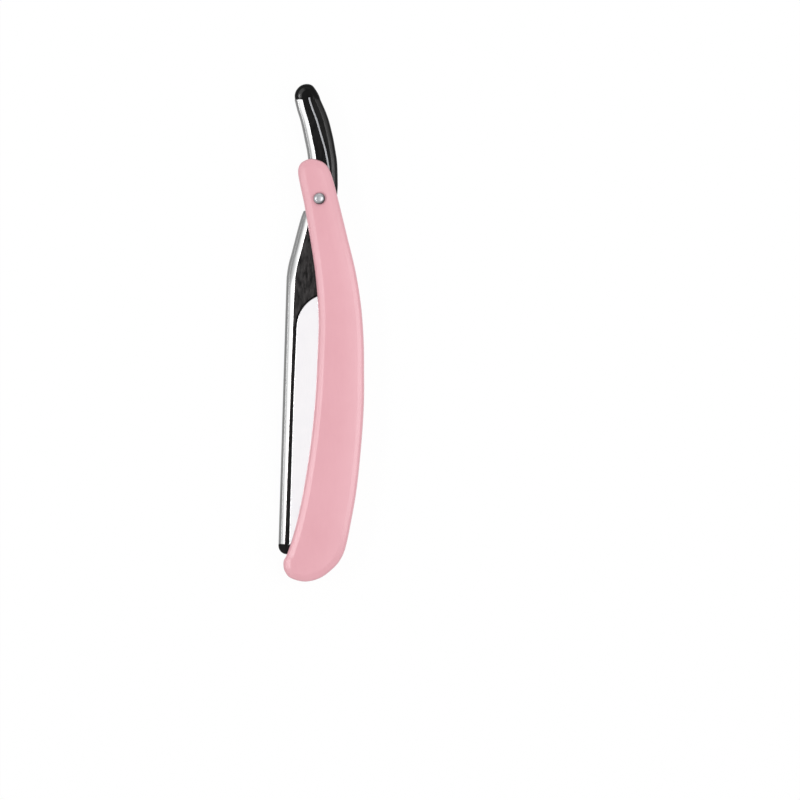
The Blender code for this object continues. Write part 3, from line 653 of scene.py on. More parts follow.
class Workpiece:
    """A mesh on the bench."""

    def __init__(self, body: bpy.types.Object, name: str) -> None:
        """Take up an object and name it.

        Args:
            body: the mesh object.
            name: the piece's name.
        """
        self.body = body
        body.name = name
        body.data.name = name

    @classmethod
    def cut_out(cls, name: str, outline: Line, rear: float, front: float) -> Workpiece:
        """Cut a sheet to an outline.

        Args:
            name: the piece's name.
            outline: closed outline in the razor's frame.
            rear: height of the rear face.
            front: height of the front face.

        Returns:
            The sheet.
        """
        release()
        bpy.ops.curve.primitive_nurbs_circle_add()
        drawn = bpy.context.object
        drawn.data.dimensions = "3D"
        drawn.data.splines.clear()
        spline = drawn.data.splines.new("POLY")
        spline.points.add(len(outline) - 1)
        spline.use_cyclic_u = True
        for point, (x, y) in zip(spline.points, outline):
            point.co = (x, y, rear, 1)
        bpy.ops.object.convert(target="MESH")
        piece = cls(bpy.context.object, name)
        bpy.ops.object.mode_set(mode="EDIT")
        bpy.ops.mesh.select_all(action="SELECT")
        bpy.ops.mesh.edge_face_add()
        move = {"value": (0, 0, front - rear)}
        bpy.ops.mesh.extrude_region_move(TRANSFORM_OT_translate=move)
        piece.turn_out()
        return piece

    @classmethod
    def turned(
        cls, name: str, centre: Point, profile: Sequence[Point], steps: int = 64,
        ring: bool = False,
    ) -> Workpiece:
        """Turn a piece as on a lathe, from a disc drawn up through its radii.

        Args:
            name: the piece's name.
            centre: where its axis stands.
            profile: radius and height of each turn, upwards; a ring's goes right round.
            steps: sides of the round.
            ring: whether it has a hole.

        Returns:
            The turned piece.
        """
        release()
        radius, height = profile[0]
        bpy.ops.mesh.primitive_circle_add(
            vertices=steps, radius=radius, fill_type="NOTHING" if ring else "NGON",
            location=(*centre, height),
        )
        bpy.ops.object.transform_apply(location=True, rotation=True, scale=True)
        piece = cls(bpy.context.object, name)
        bpy.ops.object.mode_set(mode="EDIT")
        bpy.ops.mesh.select_mode(type=Part.EDGES.value)
        bpy.ops.mesh.select_all(action="SELECT")
        stops = [*profile[1:], profile[0]] if ring else profile[1:]
        for wanted, place in stops:
            move = {"value": (0, 0, place - height)}
            bpy.ops.mesh.extrude_region_move(TRANSFORM_OT_translate=move)
            share = wanted / radius
            bpy.ops.transform.resize(value=(share, share, 1), center_override=(*centre, place))
            radius, height = wanted, place
        if ring:
            bpy.ops.mesh.select_all(action="SELECT")
            bpy.ops.mesh.remove_doubles(threshold=HAIR)
        piece.turn_out()
        return piece

    def take_up(self) -> None:
        """Select this piece alone."""
        release()
        bpy.context.view_layer.objects.active = self.body
        self.body.select_set(True)

    def edit(self) -> None:
        """Open this piece alone in edit mode, with all of it selected."""
        self.take_up()
        bpy.ops.object.mode_set(mode="EDIT")
        bpy.ops.mesh.select_all(action="SELECT")

    def turn_out(self) -> None:
        """Point every face outwards and leave edit mode."""
        bpy.ops.mesh.select_all(action="SELECT")
        bpy.ops.mesh.normals_make_consistent(inside=False)
        bpy.ops.object.mode_set(mode="OBJECT")

    def pick(self, part: Part, test: Callable[[object], bool]) -> int:
        """Select the edges or faces that pass a test, in edit mode.

        Args:
            part: what to select.
            test: tells whether an edge or face is wanted.

        Returns:
            How many were found.
        """
        bpy.ops.mesh.select_mode(type=part.value)
        bpy.ops.mesh.select_all(action="DESELECT")
        mesh = bmesh.from_edit_mesh(self.body.data)
        mesh.normal_update()
        items = mesh.edges if part is Part.EDGES else mesh.faces
        chosen = [item for item in items if test(item)]
        for item in chosen:
            item.select_set(True)
        mesh.select_flush_mode()
        bmesh.update_edit_mesh(self.body.data)
        return len(chosen)

    def round_rims(
        self, width: float, segments: int, where: Callable[[Vector], bool] | None = None,
    ) -> Workpiece:
        """Bevel rims between level and steep faces.

        Args:
            width: how far the bevel reaches.
            segments: its steps.
            where: tells from an edge's middle whether it is wanted.

        Returns:
            This piece.
        """

        def is_rim(edge: bmesh.types.BMEdge) -> bool:
            """Whether an edge is a wanted rim.

            Args:
                edge: the edge.

            Returns:
                Whether one of its faces is level and the other steep, where wanted.
            """
            level = [abs(face.normal.z) > LEVEL for face in edge.link_faces]
            if len(level) != 2 or level[0] == level[1]:
                return False
            return where is None or where((edge.verts[0].co + edge.verts[1].co) / 2)

        self.edit()
        if self.pick(Part.EDGES, is_rim):
            bpy.ops.mesh.bevel(
                offset=width, segments=segments, profile=0.5, affect="EDGES", clamp_overlap=True,
            )
        bpy.ops.object.mode_set(mode="OBJECT")
        return self

    def draw_over(self, steps: Line, slide: Callable[[Point, float, float], Point]) -> Workpiece:
        """Round the front and rear faces over by building them up in steps.

        Args:
            steps: reach from the rim and rise above the flank of each step.
            slide: where a point goes from one reach to the next.

        Returns:
            This piece.
        """
        for side in (1, -1):
            self.edit()
            self.pick(Part.FACES, lambda face: face.normal.z * side > FLAT)
            last, height = 0.0, 0.0
            for reach, rise in steps:
                move = {"value": (0, 0, side * (rise - height))}
                bpy.ops.mesh.extrude_region_move(TRANSFORM_OT_translate=move)
                mesh = bmesh.from_edit_mesh(self.body.data)
                for vertex in [item for item in mesh.verts if item.select]:
                    vertex.co.xy = slide((vertex.co.x, vertex.co.y), last, reach)
                bmesh.update_edit_mesh(self.body.data)
                last, height = reach, rise
            self.turn_out()
        return self

    def slice(
        self, place: Sequence[float], normal: Sequence[float], keep_all: bool = False,
    ) -> Workpiece:
        """Cut along a plane.

        Args:
            place: a point on the plane.
            normal: its direction; what lies on that side goes.
            keep_all: only score a line and keep both sides.

        Returns:
            This piece.
        """
        self.edit()
        bpy.ops.mesh.bisect(
            plane_co=place, plane_no=normal, use_fill=not keep_all, clear_outer=not keep_all,
        )
        self.turn_out()
        return self

    def carve(self, tool: Workpiece) -> Workpiece:
        """Take another piece's shape out of this one.

        Args:
            tool: the cutter, which is used up.

        Returns:
            This piece.
        """
        settings = {"operation": "DIFFERENCE", "object": tool.body, "solver": "EXACT"}
        cut = self.modifier("BOOLEAN", settings, apply=False)
        bpy.ops.object.modifier_apply(modifier=cut.name)
        bpy.data.objects.remove(tool.body, do_unlink=True)
        return self

    def drill(
        self, centre: Point, radius: float, rear: float, front: float, steps: int = 64,
    ) -> Workpiece:
        """Cut a round hole or recess between two heights."""
        profile = [(radius, rear), (radius, front)]
        return self.carve(Workpiece.turned("drill", centre, profile, steps))

    def modifier(
        self, kind: str, settings: dict[str, object], apply: bool = True,
    ) -> bpy.types.Modifier:
        """Add a modifier to this piece.

        Args:
            kind: its type.
            settings: its options.
            apply: whether it is applied at once.

        Returns:
            The modifier, which is gone once applied.
        """
        self.take_up()
        bpy.ops.object.modifier_add(type=kind)
        made = self.body.modifiers[-1]
        for name, value in settings.items():
            setattr(made, name, value)
        if apply:
            bpy.ops.object.modifier_apply(modifier=made.name)
        return made

    def soften(self, width: float, segments: int = 2) -> Workpiece:
        """Break the sharp edges and leave flat faces flat to the eye.

        Args:
            width: width of the broken edge.
            segments: its steps.

        Returns:
            This piece.
        """
        if width:
            self.modifier("BEVEL", {
                "width": width, "segments": segments, "limit_method": "ANGLE",
                "angle_limit": SHARP, "use_clamp_overlap": True,
            })
        self.take_up()
        bpy.ops.object.shade_smooth_by_angle(angle=SMOOTH)
        self.modifier("WEIGHTED_NORMAL", {"keep_sharp": True})
        return self

    def copy(self, name: str) -> Workpiece:
        """A second one with its own mesh.

        Args:
            name: the copy's name.

        Returns:
            The copy.
        """
        self.take_up()
        bpy.ops.object.duplicate(linked=False)
        return Workpiece(bpy.context.object, name)

    def shift(self, move: Sequence[float]) -> Workpiece:
        """Move the mesh.

        Args:
            move: how far along x, y and z.

        Returns:
            This piece.
        """
        self.edit()
        bpy.ops.transform.translate(value=move)
        bpy.ops.object.mode_set(mode="OBJECT")
        return self

    def flip(self, height: float) -> Workpiece:
        """Mirror the mesh front to rear.

        Args:
            height: where the mirror lies.

        Returns:
            This piece.
        """
        self.edit()
        bpy.ops.transform.resize(value=(1, 1, -1), center_override=(0, 0, height))
        self.turn_out()
        return self

    def dress(self, finish: Finish) -> Workpiece:
        """Give the piece its finish.

        Args:
            finish: what it is made of.

        Returns:
            This piece.
        """
        self.body.data.materials.clear()
        self.body.data.materials.append(finish.material())
        return self

    def stand_for(self, node: str, body: Body) -> None:
        """Take a CAD node's place on a body and report it.

        Args:
            node: the node's name.
            body: what the piece moves with.
        """
        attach(self.body, body.value)
        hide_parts(node)
        LOG.info("%s stands for %s: %d faces", self.body.name, node, len(self.body.data.polygons))


def redress(node: str, finish: Finish) -> None:
    """Give a CAD node that keeps its own shape a better finish.

    Args:
        node: the node's name.
        finish: what it is made of.
    """
    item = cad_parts[node]
    for slot in item.material_slots:
        slot.material = finish.material()
    LOG.info("%s keeps its CAD shape", node)


# ---------------------------------------------------------------------------------------------
# The drawing
# ---------------------------------------------------------------------------------------------


def spread(start: float, end: float, count: int) -> list[float]:
    """Evenly spaced values from start to end."""
    return [start + (end - start) * step / count for step in range(count + 1)]


def smooth(points: Sequence[Point], steps: int = 6, closed: bool = False) -> Line:
    """A Catmull-Rom curve through points.

    Args:
        points: places that it passes.
        steps: sides of each span.
        closed: whether it comes back to its start.

    Returns:
        The finer line.
    """
    count = len(points)
    path: Line = []
    for index in range(count if closed else count - 1):
        places = [index + shift for shift in (-1, 0, 1, 2)]
        if closed:
            four = [Vector(points[place % count]) for place in places]
        else:
            four = [Vector(points[min(max(place, 0), count - 1)]) for place in places]
        before, start, end, after = four
        for step in range(steps):
            t = step / steps
            spot = 2 * start + (end - before) * t
            spot += (2 * before - 5 * start + 4 * end - after) * t**2
            spot += (3 * start - before - 3 * end + after) * t**3
            path.append(tuple(spot / 2))
    if not closed:
        path.append(tuple(points[-1]))
    return path


def x_at(line: Line, y: float) -> float:
    """The x of a line that runs downwards, at a height.

    Args:
        line: the line.
        y: the height.

    Returns:
        Its x there, or at its nearer end.
    """
    for (x_0, y_0), (x_1, y_1) in zip(line, line[1:]):
        if y_1 <= y <= y_0:
            return x_0 + (x_1 - x_0) * (y_0 - y) / (y_0 - y_1) if y_0 > y_1 else x_0
    return line[0][0] if y > line[0][1] else line[-1][0]


def nearest(line: Line, spot: Vector) -> Vector:
    """The point of a line that is nearest to a place.

    Args:
        line: the line.
        spot: the place.

    Returns:
        The nearest point.
    """
    best, shortest = Vector(line[0]), math.inf
    for first, second in zip(line, line[1:]):
        start, along = Vector(first), Vector(second) - Vector(first)
        share = min(max((spot - start).dot(along) / along.length_squared, 0), 1)
        found = start + along * share
        if (spot - found).length < shortest:
            best, shortest = found, (spot - found).length
    return best


def band(
    left: Callable[[float], float], right: Callable[[float], float], rows: Sequence[float],
    narrowest: float,
) -> Line:
    """Closed outline between two edges, without the rows that are too narrow."""
    kept = [y for y in rows if right(y) - left(y) > narrowest]
    return [(left(y), y) for y in kept] + [(right(y), y) for y in reversed(kept)]


@dataclass(frozen=True)
class Drawing:
    """The razor's side view, drawn from its fold pivot."""

    pivot: Point
    middle: float = 4.9 * MM
    running: float = 0.12 * MM  # clearance round the clamp

    handle_top: float = 11.6 * MM
    handle_bulge: float = 12.9 * MM
    end_margin: float = 7.2 * MM
    slot_at_pivot: float = 5.4 * MM
    slot_at_end: float = 3.9 * MM

    head_tilt: float = math.radians(1.73)
    head_width: float = 16.04 * MM
    spine_offset: float = 8.9 * MM
    neck_length: float = 26.0 * MM
    corner_along: float = 37.1 * MM
    corner_radius: float = 10.1 * MM
    plate_left: float = -5.85 * MM
    plate_right: float = 5.94 * MM
    plate_end: float = 100.45 * MM
    corner_draw: float = 0.28 * MM  # how far the plates' corner and lobe are drawn in
    back_start: float = 57 * MM  # where their straight back edge starts
    tip_end: float = 103.3 * MM
    tip_back: float = 8.88 * MM
    tip_edge_radius: float = 1.5 * MM
    tip_back_radius: float = 2.6 * MM
    head_reach: float = 103.7 * MM
    web_right: float = 0.95 * MM
    web_drop: float = 3.5 * MM  # from the neck's end to the web's straight edge
    lobe_radius: float = 3.8 * MM
    lobe_turn: float = math.radians(107)
    blade_top: float = 38.2 * MM
    blade_end: float = 100.4 * MM
    blade_back: float = -0.86 * MM
    blade_edge: float = 7.14 * MM
    notch_radius: float = 0.92 * MM
    stud_shares: tuple[float, ...] = (0.25, 0.75)
    rivet_shares: tuple[float, ...] = (0.22, 0.5, 0.78)
    rivet_inset: float = 2.8 * MM
    spacer_gap: float = 0.6 * MM
    spacer_inset: float = 0.5 * MM

    tail_length: float = 33.5 * MM
    tail_sway: float = 7.3 * MM
    cap_base: float = 28.9 * MM
    cap_tuck: float = 0.13 * MM  # how far the cap's foot is drawn in
    trim_width: float = 0.55 * MM
    rest_end: float = 2.2 * MM
    strip_width: float = 2.75 * MM
    strip_tuck: float = 0.2 * MM  # how far the tang reaches into the strips
    boss_radius: float = 4.5 * MM

    handle_shares: tuple[Point, ...] = (
        (-0.194, 1.0), (0.016, 0.948), (0.124, 0.875), (0.214, 0.75), (0.3, 0.5),
        (0.423, -0.003), (0.62, -0.097), (0.814, -0.191), (0.938, -0.285), (0.992, -0.374),
        (1.0, -0.455), (0.996, -0.536), (0.946, -0.63), (0.837, -0.756), (0.698, -0.85),
        (0.581, -0.913), (0.465, -0.944), (0.285, -0.968), (0.008, -0.991), (-0.326, -1.0),
        (-0.643, -0.991), (-0.775, -0.974), (-0.81, -0.958), (-0.798, -0.944), (-0.721, -0.926),
        (-0.55, -0.863), (-0.372, -0.769), (-0.202, -0.643), (-0.093, -0.518), (-0.039, -0.392),
        (-0.023, -0.307), (-0.085, -0.204), (-0.202, -0.11), (-0.341, -0.015), (-0.426, 0.302),
        (-0.481, 0.638), (-0.461, 0.81), (-0.38, 0.922),
    )
    tail_shares: tuple[tuple[float, float, float, float], ...] = (
        (0.866, -1.0, -0.42, 0.03), (0.77, -0.89, -0.274, 0.226), (0.684, -0.767, -0.123, 0.37),
        (0.597, -0.671, -0.008, 0.473), (0.51, -0.589, 0.11, 0.562), (0.424, -0.507, 0.219, 0.63),
        (0.337, -0.452, 0.301, 0.692), (0.251, -0.42, 0.356, 0.715), (0.118, -0.42, 0.4, 0.726),
    )
    cap_shares: tuple[Point, ...] = (
        (-0.994, 0.898), (-0.965, 0.928), (-0.885, 0.959), (-0.73, 0.988), (-0.52, 1.0),
        (-0.297, 0.988), (-0.13, 0.943), (-0.022, 0.9),
    )
    neck_back_shares: tuple[Point, ...] = (
        (-0.35, -0.03), (-0.449, 0.1), (-0.548, 0.2), (-0.651, 0.335), (-0.744, 0.469),
        (-0.837, 0.604), (-0.93, 0.735), (-0.981, 0.86),
    )
    neck_edge_shares: tuple[Point, ...] = (
        (0.726, -0.15), (0.71, -0.085), (0.67, 0.0), (0.59, 0.154), (0.52, 0.346), (0.48, 0.538),
        (0.5, 0.769), (0.56, 0.96), (0.6, 1.11), (0.62, 1.27), (0.49, 1.44), (0.16, 1.58),
    )
    strip_width_shares: tuple[Point, ...] = (
        (0.33, 0.84), (0.05, 0.84), (-0.04, 1.0), (-0.18, 0.98), (-0.29, 0.87),
        (-0.75, 0.75), (-0.94, 0.7), (-1.0, 0.68),
    )

    def placed(self, line: Line) -> Line:
        """A line moved from the fold pivot to the razor's frame."""
        return [(x + self.pivot[0], y + self.pivot[1]) for x, y in line]

    @property
    def slot_slope(self) -> float:
        """How fast each side of the slot closes in towards the handle's end."""
        return (self.slot_at_pivot - self.slot_at_end) / 2 / self.head_reach

    def head(self, along: float, across: float) -> Point:
        """A place along the head and across it, towards the cutting edge."""
        cosine, sine = math.cos(self.head_tilt), math.sin(self.head_tilt)
        return (across * cosine - along * sine, -along * cosine - across * sine)

    def spot(self, along: float, across: float) -> Point:
        """A place on the head in the razor's frame."""
        return self.placed([self.head(along, across)])[0]

    def arc(
        self, along: float, across: float, radius: float, start: float, end: float,
        steps: int = 24,
    ) -> Line:
        """An arc on the head; zero points to the edge and a quarter turn to the pivot.

        Args:
            along: its centre along the head.
            across: its centre across the head.
            radius: its radius.
            start: angle at its start.
            end: angle at its end.
            steps: its sides.

        Returns:
            The arc.
        """
        return [
            self.head(along - radius * math.sin(turn), across + radius * math.cos(turn))
            for turn in spread(start, end, steps)
        ]

    @property
    def corner(self) -> Point:
        """Centre of the plates' wide round corner, along and across the head."""
        return (self.corner_along, self.plate_left + self.corner_radius)

    @property
    def pin(self) -> Point:
        """The clamp's pin.

        Returns:
            Its place along and across the head.
        """
        reach = self.corner_radius - self.lobe_radius
        along, across = self.corner
        turn = self.lobe_turn
        return (along - reach * math.sin(turn), across + reach * math.cos(turn))

    @cached_property
    def handle(self) -> Line:
        """Outline shared by both scales.

        Returns:
            The closed outline.
        """
        reach = self.head_reach + self.end_margin
        points = []
        for x_share, y_share in self.handle_shares:
            rise = self.handle_top if y_share > 0 else reach
            points.append((x_share * self.handle_bulge, y_share * rise))
        return smooth(points, closed=True)

    def handle_sides(self, y: float) -> Point:
        """Left and right edge of a scale.

        Args:
            y: the height.

        Returns:
            The x of either edge there.
        """
        found = []
        for (x_0, y_0), (x_1, y_1) in zip(self.handle, self.handle[1:] + self.handle[:1]):
            if min(y_0, y_1) <= y <= max(y_0, y_1) and y_0 != y_1:
                found.append(x_0 + (x_1 - x_0) * (y - y_0) / (y_1 - y_0))
        return (min(found), max(found))

    @cached_property
    def spine(self) -> Line:
        """The spine's back, from the tail to the arm's end.

        Returns:
            The line, downwards.
        """
        elbow = self.head(self.neck_length, -self.spine_offset)
        points = [(row[1] * self.tail_sway, row[0] * self.tail_length) for row in self.tail_shares]
        points += [(-share * elbow[0], drop * elbow[1]) for share, drop in self.neck_back_shares]
        points.append(elbow)
        points.append(self.head((self.neck_length + self.head_reach) / 2, -self.spine_offset))
        return smooth(points) + [self.head(self.head_reach, -self.spine_offset)]

    def tail_line(self, column: int) -> Line:
        """One line of the tail, downwards."""
        rows = self.tail_shares
        return smooth([(row[column] * self.tail_sway, row[0] * self.tail_length) for row in rows])

    @cached_property
    def trim(self) -> Line:
        """Middle of the tail's trim."""
        return self.tail_line(2)

    @cached_property
    def grip(self) -> Line:
        """Outer side of the finger rest."""
        return self.tail_line(3)

    @cached_property
    def neck_edge(self) -> Line:
        """The neck's inner side, and the edge of the web beside the blade.

        Returns:
            The line, downwards.
        """
        points = [(x * self.tail_sway, -y * self.neck_length) for x, y in self.neck_edge_shares]
        line = smooth(points)
        start = max(self.web_drop - line[-1][1], 0)
        return line + [self.head(start, self.web_right), self.head(self.plate_end, self.web_right)]

    def spine_x(self, y: float) -> float:
        """Back of the spine at a height."""
        return x_at(self.spine, y)

    def strip_reach(self, y: float) -> float:
        """Width of the spine strip at a height."""
        line = [(share, drop) for drop, share in self.strip_width_shares]
        return x_at(line, y / self.head_reach) * self.strip_width

    def boss_x(self, y: float) -> float:
        """Left side of the boss at a height, or endlessly far right where it isn't."""
        radius = self.boss_radius
        return -math.sqrt(radius**2 - y**2) if abs(y) < radius else math.inf

    def strip_x(self, y: float) -> float:
        """Inner side of the strips."""
        return min(self.spine_x(y) + self.strip_reach(y), self.boss_x(y))

    def body_x(self, y: float) -> float:
        """Back of the moulded tang, tucked a little way into the strips."""
        tucked = self.spine_x(y) + self.strip_reach(y) - self.strip_tuck
        return min(tucked, self.boss_x(y))

    def plate(self, inset: float) -> Line:
        """Outline of a blade plate.

        Args:
            inset: how much smaller it is than the clamp's plate.

        Returns:
            The outline.
        """
        drawn = inset + self.corner_draw
        points = self.arc(*self.corner, self.corner_radius - drawn, math.pi, self.lobe_turn)
        points += self.arc(*self.pin, self.lobe_radius - drawn, self.lobe_turn, 0)[1:]
        points.append(self.head(self.corner_along, self.plate_right))
        points.append(self.head(self.plate_end, self.plate_right))
        points.append(self.head(self.plate_end, self.plate_left + inset))
        points.append(self.head(self.back_start, self.plate_left + inset))
        return points

    def pocket(self) -> Line:
        """Everything past the neck in front of the web, with room for the clamp.

        Returns:
            The outline.
        """
        far = self.head_width + OVERRUN
        points = [
            self.head(self.head_reach, far), self.head(self.head_reach, -far),
            self.head(self.corner_along, -far),
        ]
        radius = self.corner_radius + self.running
        points += self.arc(*self.corner, radius, math.pi, self.lobe_turn)
        points += self.arc(*self.pin, self.lobe_radius + self.running, self.lobe_turn, 0)[1:]
        points.append(self.head(self.pin[0], far))
        return points

    def tip(self) -> Line:
        """Outline of the arm's end piece, whose top lets the clamp's corner pass.

        Returns:
            The outline.
        """
        along, across = self.pin
        corner = math.hypot(self.plate_end - along, self.plate_left - across) + self.running
        points = []
        for place in spread(-self.tip_back, self.plate_right, count=24):
            swing = along + math.sqrt(corner**2 - (place - across) ** 2)
            points.append(self.head(max(self.plate_end, swing), place))
        edge, back, quarter = self.tip_edge_radius, self.tip_back_radius, -math.pi / 2
        points += self.arc(self.tip_end - edge, self.plate_right - edge, edge, 0, quarter)
        centre = (self.tip_end - back, back - self.tip_back)
        return points + self.arc(*centre, back, quarter, 2 * quarter)

    def cap(self) -> Line:
        """Outline of the tail's rounded cap.

        Returns:
            The outline, from one end of its base to the other.
        """
        points = [(self.spine_x(self.cap_base) + self.cap_tuck, self.cap_base)]
        points += [(x * self.tail_sway, y * self.tail_length) for x, y in self.cap_shares]
        points.append((x_at(self.grip, self.cap_base), self.cap_base))
        return smooth(points)

    def tang(self) -> Line:
        """Outline of the moulded tang: tail, boss, neck and the web under the plates.

        Returns:
            The outline.
        """
        shoulder = self.rest_end
        bottom = self.head(self.plate_end, self.plate_left)[1]
        rows = spread(self.cap_base, self.boss_radius, count=40)
        rows += spread(self.boss_radius, -self.boss_radius, count=40)[1:]
        rows += spread(-self.boss_radius, -self.neck_length, count=40)[1:]
        rows += spread(-self.neck_length, bottom, count=12)[1:]
        left = [(self.body_x(y), y) for y in rows]
        right = [point for point in reversed(self.neck_edge) if point[1] < shoulder]
        right.append((x_at(self.neck_edge, shoulder), shoulder))
        right += [(x_at(self.trim, y), y) for y in spread(shoulder, self.cap_base, count=40)]
        return left + right

    def blade(self) -> Line:
        """Outline of the blade, with half-round notches along its back.

        Returns:
            The outline.
        """
        points = [self.head(self.blade_top, self.blade_back)]
        quarter = math.pi / 2
        for stud in self.studs():
            points += self.arc(*stud, self.notch_radius, quarter, -quarter, steps=12)
        points += [
            self.head(self.blade_end, self.blade_back), self.head(self.blade_end, self.blade_edge),
            self.head(self.blade_top, self.blade_edge),
        ]
        return points

    def along_blade(self, shares: Sequence[float], across: float) -> Line:
        """Places at shares of the blade's length, along and across the head."""
        length = self.blade_end - self.blade_top
        return [(self.blade_top + share * length, across) for share in shares]

    def rivets(self) -> Line:
        """Where the bed plate is riveted to the web, along and across the head."""
        return self.along_blade(self.rivet_shares, self.plate_left + self.rivet_inset)

    def studs(self) -> Line:
        """Where studs locate the blade's back, along and across the head."""
        return self.along_blade(self.stud_shares, self.blade_back)

    def spacer(self) -> Line:
        """Outline of the block between the scales at the handle's end.

        Returns:
            The outline.
        """
        reach = max(math.hypot(x, y) for x, y in self.tip()) + self.spacer_gap
        inner = []
        count = len(self.handle)
        for index, place in enumerate(self.handle):
            before = Vector(self.handle[index - 1])
            after = Vector(self.handle[(index + 1) % count])
            along = (after - before).normalized()
            spot = Vector(place) + Vector((along.y, -along.x)) * self.spacer_inset
            if spot.y < 0 and spot.length > reach:
                inner.append(tuple(spot))
        start = math.atan2(inner[-1][1], inner[-1][0])
        end = math.atan2(inner[0][1], inner[0][0])
        turns = spread(start, end, count=20)
        return inner + [(reach * math.cos(turn), reach * math.sin(turn)) for turn in turns]


# ---------------------------------------------------------------------------------------------
# Sub-assemblies
# ---------------------------------------------------------------------------------------------


def centred(drawing: Drawing, name: str, line: Line, half: float) -> Workpiece:
    """Cut a sheet of twice a half's thickness about the middle of the depth."""
    outline = drawing.placed(line)
    return Workpiece.cut_out(name, outline, drawing.middle - half, drawing.middle + half)


@dataclass
class Handle:
    """Two moulded scales, the block between their ends and the dowels in it."""

    drawing: Drawing
    depth: float = 9.8 * MM
    edge_width: float = 0.95 * MM
    edge_height: float = 1.0 * MM
    edge_turn: float = math.pi / 2 - 0.25
    edge_steps: int = 8
    slope_reach: float = 2.1 * MM
    slope_height: float = 0.36 * MM
    slope_stops: tuple[float, ...] = (0.06, 0.5, 0.94)
    crease: float = 0.12 * MM
    crown: float = 0.58 * MM
    crown_stops: tuple[float, ...] = (0.3, 0.6, 0.9)
    ridge_top: float = 4.8 * MM
    ridge_end: float = 6.0 * MM
    spare: float = 0.2 * MM  # cut away again as the inner face is sloped
    inner_edge: float = 0.15 * MM
    inner_depth: float = 0.6 * MM
    bore: float = 1.3 * MM
    seat_radius: float = 1.95 * MM
    seat_depth: float = 0.14 * MM
    seat_corner: float = 0.1 * MM
    seat_flare: float = 0.25 * MM
    burr_radius: float = 2.5 * MM
    burr_depth: float = 1.1 * MM
    block_inset: float = 1.5 * MM
    block_press: float = 0.02 * MM  # how far the block reaches into each scale
    block_edge: float = 0.1 * MM
    dowels: int = 2

    @cached_property
    def middle_line(self) -> Line:
        """Middle of a scale, downwards, in the razor's frame.

        Returns:
            The line.
        """
        drawing = self.drawing
        heights = [y for _, y in drawing.handle]
        rows = spread(max(heights) - self.ridge_top, min(heights) + self.ridge_end, count=80)
        return drawing.placed([(sum(drawing.handle_sides(y)) / 2, y) for y in rows])

    def profile(self) -> Line:
        """Rings of the front face: rounding, slope and crease.

        Returns:
            Reach and rise of each ring from the rim.
        """
        width, height = self.edge_width, self.edge_height
        turns = spread(0, self.edge_turn, self.edge_steps)
        stops = [(width * (1 - math.cos(turn)), height * math.sin(turn)) for turn in turns]
        reach, rise = stops[-1]
        top = height + self.slope_height
        for share in self.slope_stops:
            stops.append((
                reach + (self.slope_reach - reach) * share, rise + (top - rise) * share,
            ))
        stops.append((self.slope_reach + self.crease, top))
        return stops

    def sink(self, x: float, y: float) -> float:
        """How far the crowned face lies under its ridge.

        Args:
            x: place across the razor, in its frame.
            y: place along it.

        Returns:
            The depth under the ridge.
        """
        rows = self.middle_line
        y = min(max(y, rows[-1][1]), rows[0][1]) - self.drawing.pivot[1]
        left, right = self.drawing.handle_sides(y)
        lean = (2 * (x - self.drawing.pivot[0]) - left - right) / (right - left)
        return self.crown * min(lean**2, 1.0)

    def draw_in(self, piece: Workpiece, shoulder: float) -> None:
        """Shape the front face with rings drawn in towards the middle line.

        Args:
            piece: the scale, cut out and still flat.
            shoulder: height of its flat front face.
        """
        piece.edit()
        piece.pick(Part.FACES, lambda face: face.normal.z > FLAT)
        mesh = bmesh.from_edit_mesh(piece.body.data)
        rims: dict[int, tuple[Vector, Vector]] = {}
        for vertex in mesh.verts:
            if vertex.select:
                rim = vertex.co.xy
                rims[vertex.index] = (rim, nearest(self.middle_line, rim))
        stops: list[tuple[float, float, float]] = [(*stop, 0.0) for stop in self.profile()]
        reach, top, _ = stops[-1]
        stops += [(reach, top, share) for share in self.crown_stops]
        for number, (inwards, upwards, share) in enumerate(stops):
            if number:
                bpy.ops.mesh.inset(thickness=HAIR, depth=0, use_even_offset=False)
                mesh = bmesh.from_edit_mesh(piece.body.data)
                mesh.verts.index_update()
                for vertex in [item for item in mesh.verts if item.select]:
                    for edge in vertex.link_edges:
                        parent = edge.other_vert(vertex)
                        if not parent.select and vertex.index not in rims:
                            rims[vertex.index] = rims[parent.index]
            for vertex in [item for item in mesh.verts if item.select]:
                rim, middle = rims[vertex.index]
                way = middle - rim
                distance = inwards + (way.length - inwards) * share
                spot = rim + way.normalized() * distance
                height = shoulder + upwards - self.sink(spot.x, spot.y)
                vertex.co = (spot.x, spot.y, height)
            bmesh.update_edit_mesh(piece.body.data)
        piece.turn_out()

    def scale(self) -> Workpiece:
        """A plain scale in the front's place, with its sloped inner face.

        Returns:
            The scale, without its bore.
        """
        drawing = self.drawing
        start = drawing.middle + drawing.slot_at_end / 2 - self.spare
        shoulder = self.depth - self.edge_height - self.slope_height
        outline = drawing.placed(drawing.handle)
        piece = Workpiece.cut_out("handle_front_scale", outline, start, shoulder)
        self.draw_in(piece, shoulder)
        place = (*drawing.pivot, drawing.middle + drawing.slot_at_pivot / 2)
        piece.slice(place, (0, drawing.slot_slope, -1))
        inside = shoulder - self.inner_depth
        return piece.round_rims(self.inner_edge, segments=2, where=lambda spot: spot.z < inside)

    def block(self) -> None:
        """Make the block between the scales' ends."""
        drawing = self.drawing
        outline = drawing.placed(drawing.spacer())
        rear, front = self.block_inset, self.depth - self.block_inset
        block = Workpiece.cut_out("handle_end_block", outline, rear, front)
        half = drawing.slot_at_pivot / 2 + self.block_press
        for side in (1, -1):
            place = (*drawing.pivot, drawing.middle + side * half)
            block.slice(place, (0, -drawing.slot_slope, side))
        block.soften(self.block_edge).dress(PINK).stand_for("end_spacer", Body.HANDLE)

